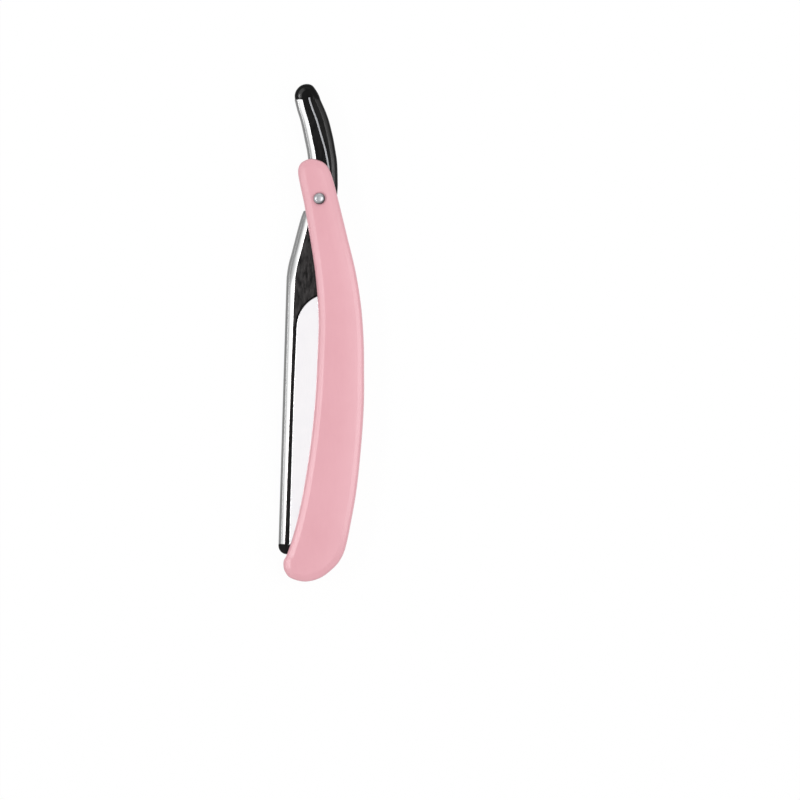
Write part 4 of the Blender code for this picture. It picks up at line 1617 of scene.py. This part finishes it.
    def build(self) -> None:
        """Make every piece of the handle."""
        pivot = self.drawing.pivot
        front = self.scale()
        rear = front.copy("handle_rear_scale").flip(self.drawing.middle)
        for piece in (front, rear):
            piece.drill(pivot, self.bore, -OVERRUN, self.depth + OVERRUN)
        radius, corner, floor = self.seat_radius, self.seat_corner, self.depth - self.seat_depth
        seat = [
            (radius - corner, floor), (radius, floor + corner),
            (radius + self.seat_flare, self.depth + corner),
        ]
        front.carve(Workpiece.turned("seat", pivot, seat))
        rear.drill(pivot, self.burr_radius, -OVERRUN, self.burr_depth)
        for piece, node in ((front, "front_scale"), (rear, "rear_scale")):
            piece.soften(0).dress(PINK).stand_for(node, Body.HANDLE)
        self.block()
        for number in range(1, self.dowels + 1):
            redress(f"scale_dowel_{number}", GROUND)


@dataclass
class FoldPivot:
    """The rivet that the arm turns on, with its burr, washers and bush."""

    drawing: Drawing
    seat: float = 9.7 * MM
    top: float = 11.0 * MM
    dome_radius: float = 1.7 * MM
    dome_corner: float = 0.06 * MM
    dome_top: float = 0.04 * MM
    fullness: float = 0.74
    rim: float = 0.12 * MM
    shaft: float = 1.0 * MM
    peened_end: tuple[Point, ...] = (
        (0.5 * MM, 0.1 * MM), (1.0 * MM, 0.13 * MM), (1.35 * MM, 0.2 * MM),
        (1.55 * MM, 0.32 * MM), (1.6 * MM, 0.45 * MM),
    )
    burr_radius: float = 2.3 * MM
    burr_rear: float = 0.45 * MM
    burr_front: float = 1.1 * MM
    washer_radius: float = 3.3 * MM
    washer_near: float = 1.75 * MM
    washer_far: float = 2.68 * MM
    bush_radius: float = 1.95 * MM
    bush_half: float = 1.7 * MM
    bore: float = 1.15 * MM
    broken_edge: float = 0.08 * MM
    steps: int = 72

    def rivet_profile(self) -> Line:
        """The rivet from its peened end up to its dome.

        Returns:
            Radius and height of each turn.
        """
        base = self.seat + self.rim
        profile = [
            *self.peened_end, (self.shaft, self.burr_rear), (self.shaft, self.seat),
            (self.dome_radius - self.dome_corner, self.seat),
            (self.dome_radius, self.seat + self.dome_corner), (self.dome_radius, base),
        ]
        for turn in spread(0, math.pi / 2, count=18)[1:-1]:
            height = base + (self.top - base) * math.sin(turn) ** self.fullness
            profile.append((self.dome_radius * math.cos(turn) ** self.fullness, height))
        profile.append((self.dome_top, self.top))
        return profile

    def ring(self, name: str, inner: float, outer: float, rear: float, front: float) -> Workpiece:
        """A plain ring about the pivot, by its two radii and its two faces."""
        profile = [(inner, rear), (outer, rear), (outer, front), (inner, front)]
        return Workpiece.turned(name, self.drawing.pivot, profile, self.steps, ring=True)

    def build(self) -> None:
        """Make every piece at the pivot."""
        middle, pivot = self.drawing.middle, self.drawing.pivot
        rivet = Workpiece.turned("domed_pivot_rivet", pivot, self.rivet_profile(), self.steps)
        rivet.soften(0).dress(RIVET).stand_for("pivot_rivet", Body.HANDLE)
        burr = self.ring(
            "sunk_rivet_burr", self.shaft, self.burr_radius, self.burr_rear, self.burr_front,
        )
        near, far = middle + self.washer_near, middle + self.washer_far
        front = self.ring("thrust_washer_front", self.bore, self.washer_radius, near, far)
        back = (0, 0, -self.washer_near - self.washer_far)
        rear = front.copy("thrust_washer_rear").shift(back)
        near, far = middle - self.bush_half, middle + self.bush_half
        bush = self.ring("tang_bush", self.bore, self.bush_radius, near, far)
        for piece, finish, node, body in (
            (burr, GROUND, "rivet_burr", Body.HANDLE),
            (front, NYLON, "front_washer", Body.HANDLE),
            (rear, NYLON, "rear_washer", Body.HANDLE),
            (bush, BRASS, "pivot_bush", Body.ARM),
        ):
            piece.soften(self.broken_edge).dress(finish).stand_for(node, body)


@dataclass
class Tang:
    """The moulded arm with its steel strips, trim, finger rest and cap."""

    drawing: Drawing
    half: float = 2.0 * MM
    edge: float = 0.12 * MM
    strip_half: float = 2.2 * MM
    strip_rounding: float = 1.2 * MM
    strip_steps: int = 8
    strip_end: float = 1.5 * MM
    strip_edge: float = 0.16 * MM
    back_margin: float = 0.06 * MM  # rims this near to the spine's back are rounded
    # Width of the satin back, over which the spine steel's painted shade is spread.
    satin_and_painted_shade_widths: tuple[Point, ...] = (
        (1.2 * MM, 28 * MM), (1.45 * MM, 20 * MM), (1.5 * MM, 0.0), (2.05 * MM, -10 * MM),
        (1.9 * MM, -18 * MM), (1.32 * MM, -28 * MM), (1.3 * MM, -70 * MM), (1.3 * MM, -100 * MM),
    )
    web_rear: float = 3.325 * MM
    web_front: float = 4.225 * MM
    recess_radius: float = 3.5 * MM
    recess_depth: float = 0.3 * MM
    bore: float = 1.95 * MM
    pin_bore: float = 0.95 * MM
    trim_shift: float = 0.1 * MM
    trim_rise: float = 0.04 * MM
    trim_edge: float = 0.08 * MM
    trim_end: float = 29.5 * MM
    rest_half: float = 2.15 * MM
    rest_reach: float = 1.9 * MM
    rest_rise: float = 1.6 * MM
    crest_turn: float = math.pi / 2 - 0.06
    crest_steps: int = 16
    cap_reach: float = 2.5 * MM
    cap_rise: float = 1.75 * MM
    cap_middle: float = 1.17 * MM
    cap_foot: float = 0.01 * MM
    well: Point = (-3.1 * MM, 29.2 * MM)
    well_radius: float = 0.58 * MM
    well_depth: float = 2 * MM
    well_steps: int = 48

    def moulding(self) -> Workpiece:
        """The black tang with its web, recesses and bores.

        Returns:
            The tang, with its edges still sharp.
        """
        drawing = self.drawing
        middle = drawing.middle
        piece = centred(drawing, "tang_moulding", drawing.tang(), self.half)
        pocket = drawing.placed(drawing.pocket())
        below, above = middle - self.half - OVERRUN, middle + self.half + OVERRUN
        piece.carve(Workpiece.cut_out("front_pocket", pocket, self.web_front, above))
        piece.carve(Workpiece.cut_out("rear_step", pocket, below, self.web_rear))
        floor = self.half - self.recess_depth
        for start, end in ((middle + floor, above), (below, middle - floor)):
            piece.drill(drawing.pivot, self.recess_radius, start, end)
        piece.drill(drawing.pivot, self.bore, below, above)
        return piece.drill(drawing.spot(*drawing.pin), self.pin_bore, below, above)

    def strip(self, name: str, rows: Sequence[float]) -> Workpiece:
        """A steel strip along the spine.

        Args:
            name: the piece's name.
            rows: heights from the pivot, downwards.

        Returns:
            The strip, rounded along its back.
        """
        drawing = self.drawing
        line = band(drawing.spine_x, drawing.strip_x, rows, self.strip_end)
        piece = centred(drawing, name, line, self.strip_half)

        def on_back(spot: Vector) -> bool:
            """Whether a rim lies along the spine's back."""
            x, y = spot.x - drawing.pivot[0], spot.y - drawing.pivot[1]
            return abs(x - drawing.spine_x(y)) < self.back_margin

        piece.round_rims(self.strip_rounding, self.strip_steps, on_back)
        return piece.soften(self.strip_edge, segments=3)

    def mark_across(self, strip: Workpiece) -> None:
        """Store how far across its satin back, which carries painted shade, each point of a strip
        lies.

        Args:
            strip: the strip.
        """
        drawing = self.drawing
        mesh = strip.body.data
        across = mesh.attributes.new(SpineSteel.attribute, "FLOAT", "POINT")
        for vertex in mesh.vertices:
            y = vertex.co.y - drawing.pivot[1]
            reach = vertex.co.x - drawing.pivot[0] - drawing.spine_x(y)
            across.data[vertex.index].value = reach / x_at(self.satin_and_painted_shade_widths, y)

    def strips(self) -> None:
        """Make the steel strips along the tail's and the head's back."""
        drawing = self.drawing
        boss = drawing.boss_radius
        bottom = drawing.head(drawing.plate_end, -drawing.spine_offset)[1]
        tail_rows = spread(drawing.cap_base, boss, count=60) + spread(boss, 0, count=20)[1:]
        head_rows = spread(0, -boss, count=20) + spread(-boss, -drawing.neck_length, count=60)[1:]
        head_rows += spread(-drawing.neck_length, bottom, count=20)[1:]
        for name, rows in (("tail_strip", tail_rows), ("spine_strip", head_rows)):
            strip = self.strip(f"{name}_bar", rows)
            self.mark_across(strip)
            strip.dress(SPINE).stand_for(name, Body.ARM)

    def trim_left(self, y: float) -> float:
        """Left side of the trim."""
        return x_at(self.drawing.trim, y) - self.drawing.trim_width / 2 + self.trim_shift

    def rest_inner(self, y: float) -> float:
        """Right side of the trim, where the finger rest starts."""
        return self.trim_left(y) + self.drawing.trim_width

    def rest_outer(self, y: float) -> float:
        """Outer side of the finger rest, which runs on down the neck."""
        drawing = self.drawing
        return x_at(drawing.grip if y > drawing.neck_edge[0][1] else drawing.neck_edge, y)

    def push_in(self, spot: Point, last: float, reach: float) -> Point:
        """Move a point inwards if it lies on the finger rest's outer side.

        Args:
            spot: the point.
            last: how far that side has been moved.
            reach: how far it is to be moved.

        Returns:
            Where the point goes.
        """
        x, y = spot[0] - self.drawing.pivot[0], spot[1] - self.drawing.pivot[1]
        is_outer = abs(x - self.rest_outer(y) + last) < abs(x - self.rest_inner(y))
        return (spot[0] - (reach - last) * is_outer, spot[1])

    def trim_and_rest(self) -> None:
        """Make the tail's thin trim and the finger rest beside it."""
        drawing = self.drawing
        rows = spread(drawing.cap_base, drawing.rest_end, count=60)
        line = band(self.trim_left, self.rest_inner, [self.trim_end, *rows], 0)
        trim = centred(drawing, "tail_trim_inlay", line, self.half + self.trim_rise)
        trim.soften(self.trim_edge).dress(TRIM).stand_for("tail_trim", Body.ARM)

        line = band(self.rest_inner, self.rest_outer, rows, 0)
        rest = centred(drawing, "finger_rest_pad", line, self.rest_half - self.rest_rise)
        rest.draw_over(self.rounding(self.rest_reach, self.rest_rise), self.push_in)
        rest.soften(0).dress(REST).stand_for("finger_rest", Body.ARM)

    def cap(self) -> None:
        """Make the tail's rounded cap, with a well for the trim's end."""
        drawing = self.drawing
        line = drawing.cap()
        (left, base), right = drawing.placed(line)[0], drawing.placed(line)[-1][0]
        centre_x, centre_y, radius = (left + right) / 2, base + self.cap_middle, (right - left) / 2

        def shrink(spot: Point, last: float, reach: float) -> Point:
            """Move the cap's rim towards its middle, and keep its base straight.

            Args:
                spot: a point of the rim.
                last: how far the rim has been moved.
                reach: how far it is to be moved.

            Returns:
                Where the point goes.
            """
            ratio = (radius - reach) / (radius - last)
            is_base = spot[1] < base + self.cap_foot
            y = spot[1] if is_base else centre_y + (spot[1] - centre_y) * ratio
            return (centre_x + (spot[0] - centre_x) * ratio, y)

        cap = centred(drawing, "tail_end_cap", line, self.strip_half - self.cap_rise)
        cap.draw_over(self.rounding(self.cap_reach, self.cap_rise), shrink)
        centre = drawing.placed([self.well])[0]
        rear, front = drawing.middle - self.half, drawing.middle + self.half
        for start, end in ((front, front + self.well_depth), (rear - self.well_depth, rear)):
            cap.drill(centre, self.well_radius, start, end, self.well_steps)
        cap.soften(0).dress(CAP).stand_for("tail_cap", Body.ARM)

    def rounding(self, reach: float, rise: float) -> Line:
        """Steps of a quarter ellipse, from its foot to near its crest."""
        turns = spread(0, self.crest_turn, self.crest_steps)[1:]
        return [(reach * (1 - math.cos(turn)), rise * math.sin(turn)) for turn in turns]

    def build(self) -> None:
        """Make every piece of the tang."""
        self.moulding().soften(self.edge).dress(TANG).stand_for("tang_body", Body.ARM)
        self.strips()
        self.trim_and_rest()
        self.cap()


@dataclass
class Head:
    """Bed plate, blade, fasteners and end piece at the arm's working end."""

    drawing: Drawing
    web_rear: float = 3.325 * MM
    bed_rear: float = 4.225 * MM
    bed_front: float = 5.4 * MM
    bed_inset: float = 0.3 * MM
    bed_edge: float = 0.12 * MM
    blade_front: float = 5.65 * MM
    hone: float = 1.0 * MM
    hone_edge: float = 0.05 * MM
    honed_share: float = 0.12
    clamp_front: float = 6.475 * MM
    stack_half: float = 1.575 * MM
    tip_half: float = 2.2 * MM
    tip_edge: float = 0.3 * MM
    stop_width: float = 2.0 * MM  # what is left thick outside the slot
    fastener_steps: int = 32
    rivet_head: tuple[Point, ...] = (
        (0.7 * MM, -0.22 * MM), (1.0 * MM, -0.16 * MM), (1.15 * MM, -0.06 * MM), (1.2 * MM, 0.0),
        (0.9 * MM, 0.02 * MM),
    )
    rivet_rise: float = 0.04 * MM
    stud_radius: float = 0.8 * MM
    stud_chamfer: float = 0.1 * MM
    stud_rise: float = 0.02 * MM
    pin_bore: float = 0.95 * MM
    pin_cut: Point = (3 * MM, 7 * MM)
    pin_shaft: float = 0.9 * MM
    pin_head: float = 2.2 * MM
    pin_face: float = 1.9 * MM
    pin_heights: tuple[float, ...] = (-0.6 * MM, -0.45 * MM, -0.3 * MM)
    pin_rises: tuple[float, ...] = (0.1 * MM, 0.45 * MM, 0.6 * MM)

    def fasteners(self, name: str, node: str, places: Line, profile: Line) -> None:
        """Turn one fastener, copy it to its other places and dress them all.

        Args:
            name: what the pieces' names start with.
            node: what the names of the nodes that they stand for start with.
            places: where they go, along and across the head.
            profile: radius and height of each turn.
        """
        spots = [self.drawing.spot(*place) for place in places]
        first_x, first_y = spots[0]
        pieces = [Workpiece.turned(f"{name}_1", spots[0], profile, self.fastener_steps)]
        for number, (x, y) in enumerate(spots[1:], 2):
            another = pieces[0].copy(f"{name}_{number}")
            pieces.append(another.shift((x - first_x, y - first_y, 0)))
        for number, piece in enumerate(pieces, 1):
            piece.soften(0).dress(GROUND).stand_for(f"{node}_{number}", Body.ARM)

    def bed(self) -> None:
        """The plate under the blade, with its rivets and studs."""
        drawing = self.drawing
        outline = drawing.placed(drawing.plate(self.bed_inset))
        plate = Workpiece.cut_out("bed_sheet", outline, self.bed_rear, self.bed_front)
        plate.drill(drawing.spot(*drawing.pin), self.pin_bore, *self.pin_cut)
        plate.soften(self.bed_edge).dress(BED).stand_for("bed_plate", Body.ARM)
        profile = [(radius, self.web_rear + rise) for radius, rise in self.rivet_head]
        profile.append((self.rivet_head[-1][0], self.bed_front + self.rivet_rise))
        self.fasteners("bed_rivet_head", "bed_rivet", drawing.rivets(), profile)
        radius, top = self.stud_radius, self.blade_front + self.stud_rise
        profile = [
            (radius, self.bed_rear), (radius, top - self.stud_chamfer),
            (radius - self.stud_chamfer, top),
        ]
        self.fasteners("blade_locating_stud", "blade_stud", drawing.studs(), profile)

    def blade(self) -> None:
        """The blade with its honed edge."""
        drawing = self.drawing
        middle = (self.bed_front + self.blade_front) / 2
        outline = drawing.placed(drawing.blade())
        piece = Workpiece.cut_out("blade_half", outline, self.bed_front, self.blade_front)
        across = Vector((math.cos(drawing.head_tilt), -math.sin(drawing.head_tilt), 0))
        line = drawing.spot(drawing.blade_top, drawing.blade_edge - self.hone)
        piece.slice((*line, middle), across, keep_all=True)
        piece.edit()
        edge = Vector((*drawing.spot(drawing.blade_top, drawing.blade_edge - self.hone_edge), 0))
        piece.pick(Part.EDGES, lambda item: all((v.co - edge).dot(across) > 0 for v in item.verts))
        squeeze = (1, 1, self.honed_share)
        bpy.ops.transform.resize(value=squeeze, center_override=(0, 0, middle))
        bpy.ops.object.mode_set(mode="OBJECT")
        piece.soften(0).dress(BLADE).stand_for("razor_blade", Body.ARM)

    def tip(self) -> None:
        """The black end piece, thick outside the slot and thin inside it."""
        drawing = self.drawing
        middle = drawing.middle
        piece = centred(drawing, "arm_end_block", drawing.tip(), self.tip_half)
        start, end = self.stop_width - drawing.spine_offset, drawing.head_width
        top, bottom = drawing.plate_end - OVERRUN, drawing.head_reach + OVERRUN
        corners = ((top, start), (bottom, start), (bottom, end), (top, end))
        step = [drawing.spot(*corner) for corner in corners]
        inner, outer = self.stack_half, self.tip_half + OVERRUN
        piece.carve(Workpiece.cut_out("front_step", step, middle + inner, middle + outer))
        piece.carve(Workpiece.cut_out("rear_step", step, middle - outer, middle - inner))
        piece.soften(self.tip_edge, segments=4).dress(BLACK).stand_for("end_tip", Body.ARM)

    def pin(self) -> None:
        """The headed pin that the clamp swings on."""
        end, rim, rear = (self.web_rear + height for height in self.pin_heights)
        front, far_rim, top = (self.clamp_front + rise for rise in self.pin_rises)
        head, face, shaft = self.pin_head, self.pin_face, self.pin_shaft
        profile = [
            (face, end), (head, rim), (head, rear), (shaft, rear), (shaft, front), (head, front),
            (head, far_rim), (face, top),
        ]
        spot = self.drawing.spot(*self.drawing.pin)
        piece = Workpiece.turned("clamp_hinge_pin", spot, profile)
        piece.soften(0).dress(GROUND).stand_for("clamp_pin", Body.ARM)

    def build(self) -> None:
        """Make every piece of the head."""
        self.bed()
        self.blade()
        self.tip()
        self.pin()


@dataclass
class Clamp:
    """The bright plate that swings aside, with its bush."""

    drawing: Drawing
    rear: float = 5.72 * MM
    front: float = 6.475 * MM
    edge: float = 0.26 * MM
    bush_radius: float = 1.8 * MM
    bush_edge: float = 0.05 * MM
    bore: float = 1.05 * MM

    def build(self) -> None:
        """Make every piece of the clamp."""
        drawing = self.drawing
        centre = drawing.spot(*drawing.pin)
        rear, front = self.rear, self.front
        plate = Workpiece.cut_out("clamp_sheet", drawing.placed(drawing.plate(0)), rear, front)
        plate.drill(centre, self.bush_radius, rear - OVERRUN, front + OVERRUN)
        plate.soften(self.edge, segments=4).dress(PLATE).stand_for("clamp_plate", Body.CLAMP)
        outer, inner = self.bush_radius, self.bore
        profile = [(inner, rear), (outer, rear), (outer, front), (inner, front)]
        bush = Workpiece.turned("clamp_hinge_bush", centre, profile, ring=True)
        bush.soften(self.bush_edge).dress(BRASS).stand_for("clamp_bush", Body.CLAMP)


# ---------------------------------------------------------------------------------------------
# Studio
# ---------------------------------------------------------------------------------------------


@dataclass(frozen=True)
class Lamp:
    """A soft lamp that faces the razor."""

    name: str
    azimuth: float
    elevation: float
    distance: float
    width: float
    length: float
    power: float


@dataclass
class Studio:
    """Pale floor, soft lamps, white surroundings and the photograph's camera."""

    aim: tuple[float, float, float] = (22.86 * MM, -19.59 * MM, 7 * MM)
    field_width: float = 232 * MM
    lens: float = 180.0
    sensor: float = 36.0
    nearest: float = 0.01
    farthest: float = 20.0
    floor_size: float = 6.0
    floor_colour: Colour = (250, 250, 250)
    floor_glow: float = 0.965
    ambient: float = 0.55
    lamps: tuple[Lamp, ...] = (
        Lamp("key_left", 180, 50, 0.60, 0.34, 0.12, 0.94),
        Lamp("soft_right", 0, 71, 0.70, 0.36, 0.19, 1.00),
        Lamp("edge_right", 0, 46, 0.70, 0.36, 0.14, 0.78),
        Lamp("low_fill", 90, 35, 0.75, 0.50, 0.30, 0.30),
    )

    def background_rays(self, graph: Graph) -> Signal:
        """One for rays that look at the background, and nothing for those that light things.

        Args:
            graph: where the nodes go.

        Returns:
            The value.
        """
        rays = [
            graph.node("ShaderNodeLightPath", output=name)
            for name in ("Is Camera Ray", "Is Glossy Ray", "Is Transmission Ray")
        ]
        return (rays[0] + rays[1] + rays[2]).capped()

    def build_world(self) -> None:
        """White surroundings that light things softly."""
        world = bpy.data.worlds.new("white_studio")
        world.use_nodes = True
        graph = Graph(world.node_tree)
        seen = self.background_rays(graph)
        strength = seen * (1 - self.ambient) + self.ambient
        shader = graph.node("ShaderNodeBackground", {}, {"Color": WHITE, "Strength": strength})
        graph.node("ShaderNodeOutputWorld", {}, {"Surface": shader})
        bpy.context.scene.world = world

    def build_floor(self) -> None:
        """Pale floor that keeps a soft shadow."""
        release()
        bpy.ops.mesh.primitive_plane_add(size=self.floor_size, location=(0, 0, 0))
        floor = bpy.context.object
        floor.name = "studio_floor"
        material = bpy.data.materials.new("pale_floor")
        material.use_nodes = True
        graph = Graph(material.node_tree)
        lit = graph.node("ShaderNodeBsdfDiffuse", {}, {"Color": linear(self.floor_colour)})
        glow = graph.node("ShaderNodeEmission", {}, {"Color": WHITE, "Strength": 1.0})
        share = self.background_rays(graph) * self.floor_glow
        shader = graph.node("ShaderNodeMixShader", {}, {"Fac": share, 1: lit, 2: glow})
        graph.node("ShaderNodeOutputMaterial", {}, {"Surface": shader})
        floor.data.materials.append(material)

    def build_lamps(self) -> None:
        """Soft lamps around the razor."""
        aim = Vector((0, 0, self.aim[2]))
        for lamp in self.lamps:
            azimuth, elevation = math.radians(lamp.azimuth), math.radians(lamp.elevation)
            way = Vector((
                math.cos(azimuth) * math.cos(elevation), math.sin(azimuth) * math.cos(elevation),
                math.sin(elevation),
            ))
            data = bpy.data.lights.new(lamp.name, "AREA")
            data.shape = "RECTANGLE"
            data.size, data.size_y = lamp.width, lamp.length
            data.energy = lamp.power
            item = bpy.data.objects.new(lamp.name, data)
            item.location = aim + way * lamp.distance
            item.rotation_euler = (-way).to_track_quat("-Z", "Y").to_euler()
            item.visible_camera = False
            bpy.context.scene.collection.objects.link(item)

    def build_camera(self) -> None:
        """The camera, straight above as in the photograph."""
        data = bpy.data.cameras.new("photo_camera")
        data.lens = self.lens
        data.sensor_width = self.sensor
        data.clip_start, data.clip_end = self.nearest, self.farthest
        camera = bpy.data.objects.new("photo_camera", data)
        distance = self.field_width * self.lens / self.sensor
        camera.location = Vector(self.aim) + Vector((0, 0, distance))
        bpy.context.scene.collection.objects.link(camera)
        bpy.context.scene.camera = camera
        bpy.context.scene.view_settings.view_transform = "Standard"

    def build(self) -> None:
        """Set the whole studio up."""
        self.build_world()
        self.build_floor()
        self.build_lamps()
        self.build_camera()
        LOG.info("studio stands")


def main() -> None:
    """Build the razor and its studio."""
    logging.basicConfig(level=logging.INFO, format="%(name)s: %(message)s")
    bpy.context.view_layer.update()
    low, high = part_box("pivot_bush")
    drawing = Drawing(((low.x + high.x) / 2, (low.y + high.y) / 2))
    Studio().build()
    Handle(drawing).build()
    FoldPivot(drawing).build()
    Tang(drawing).build()
    Head(drawing).build()
    Clamp(drawing).build()
    release()


if __name__ == "__main__":
    main()
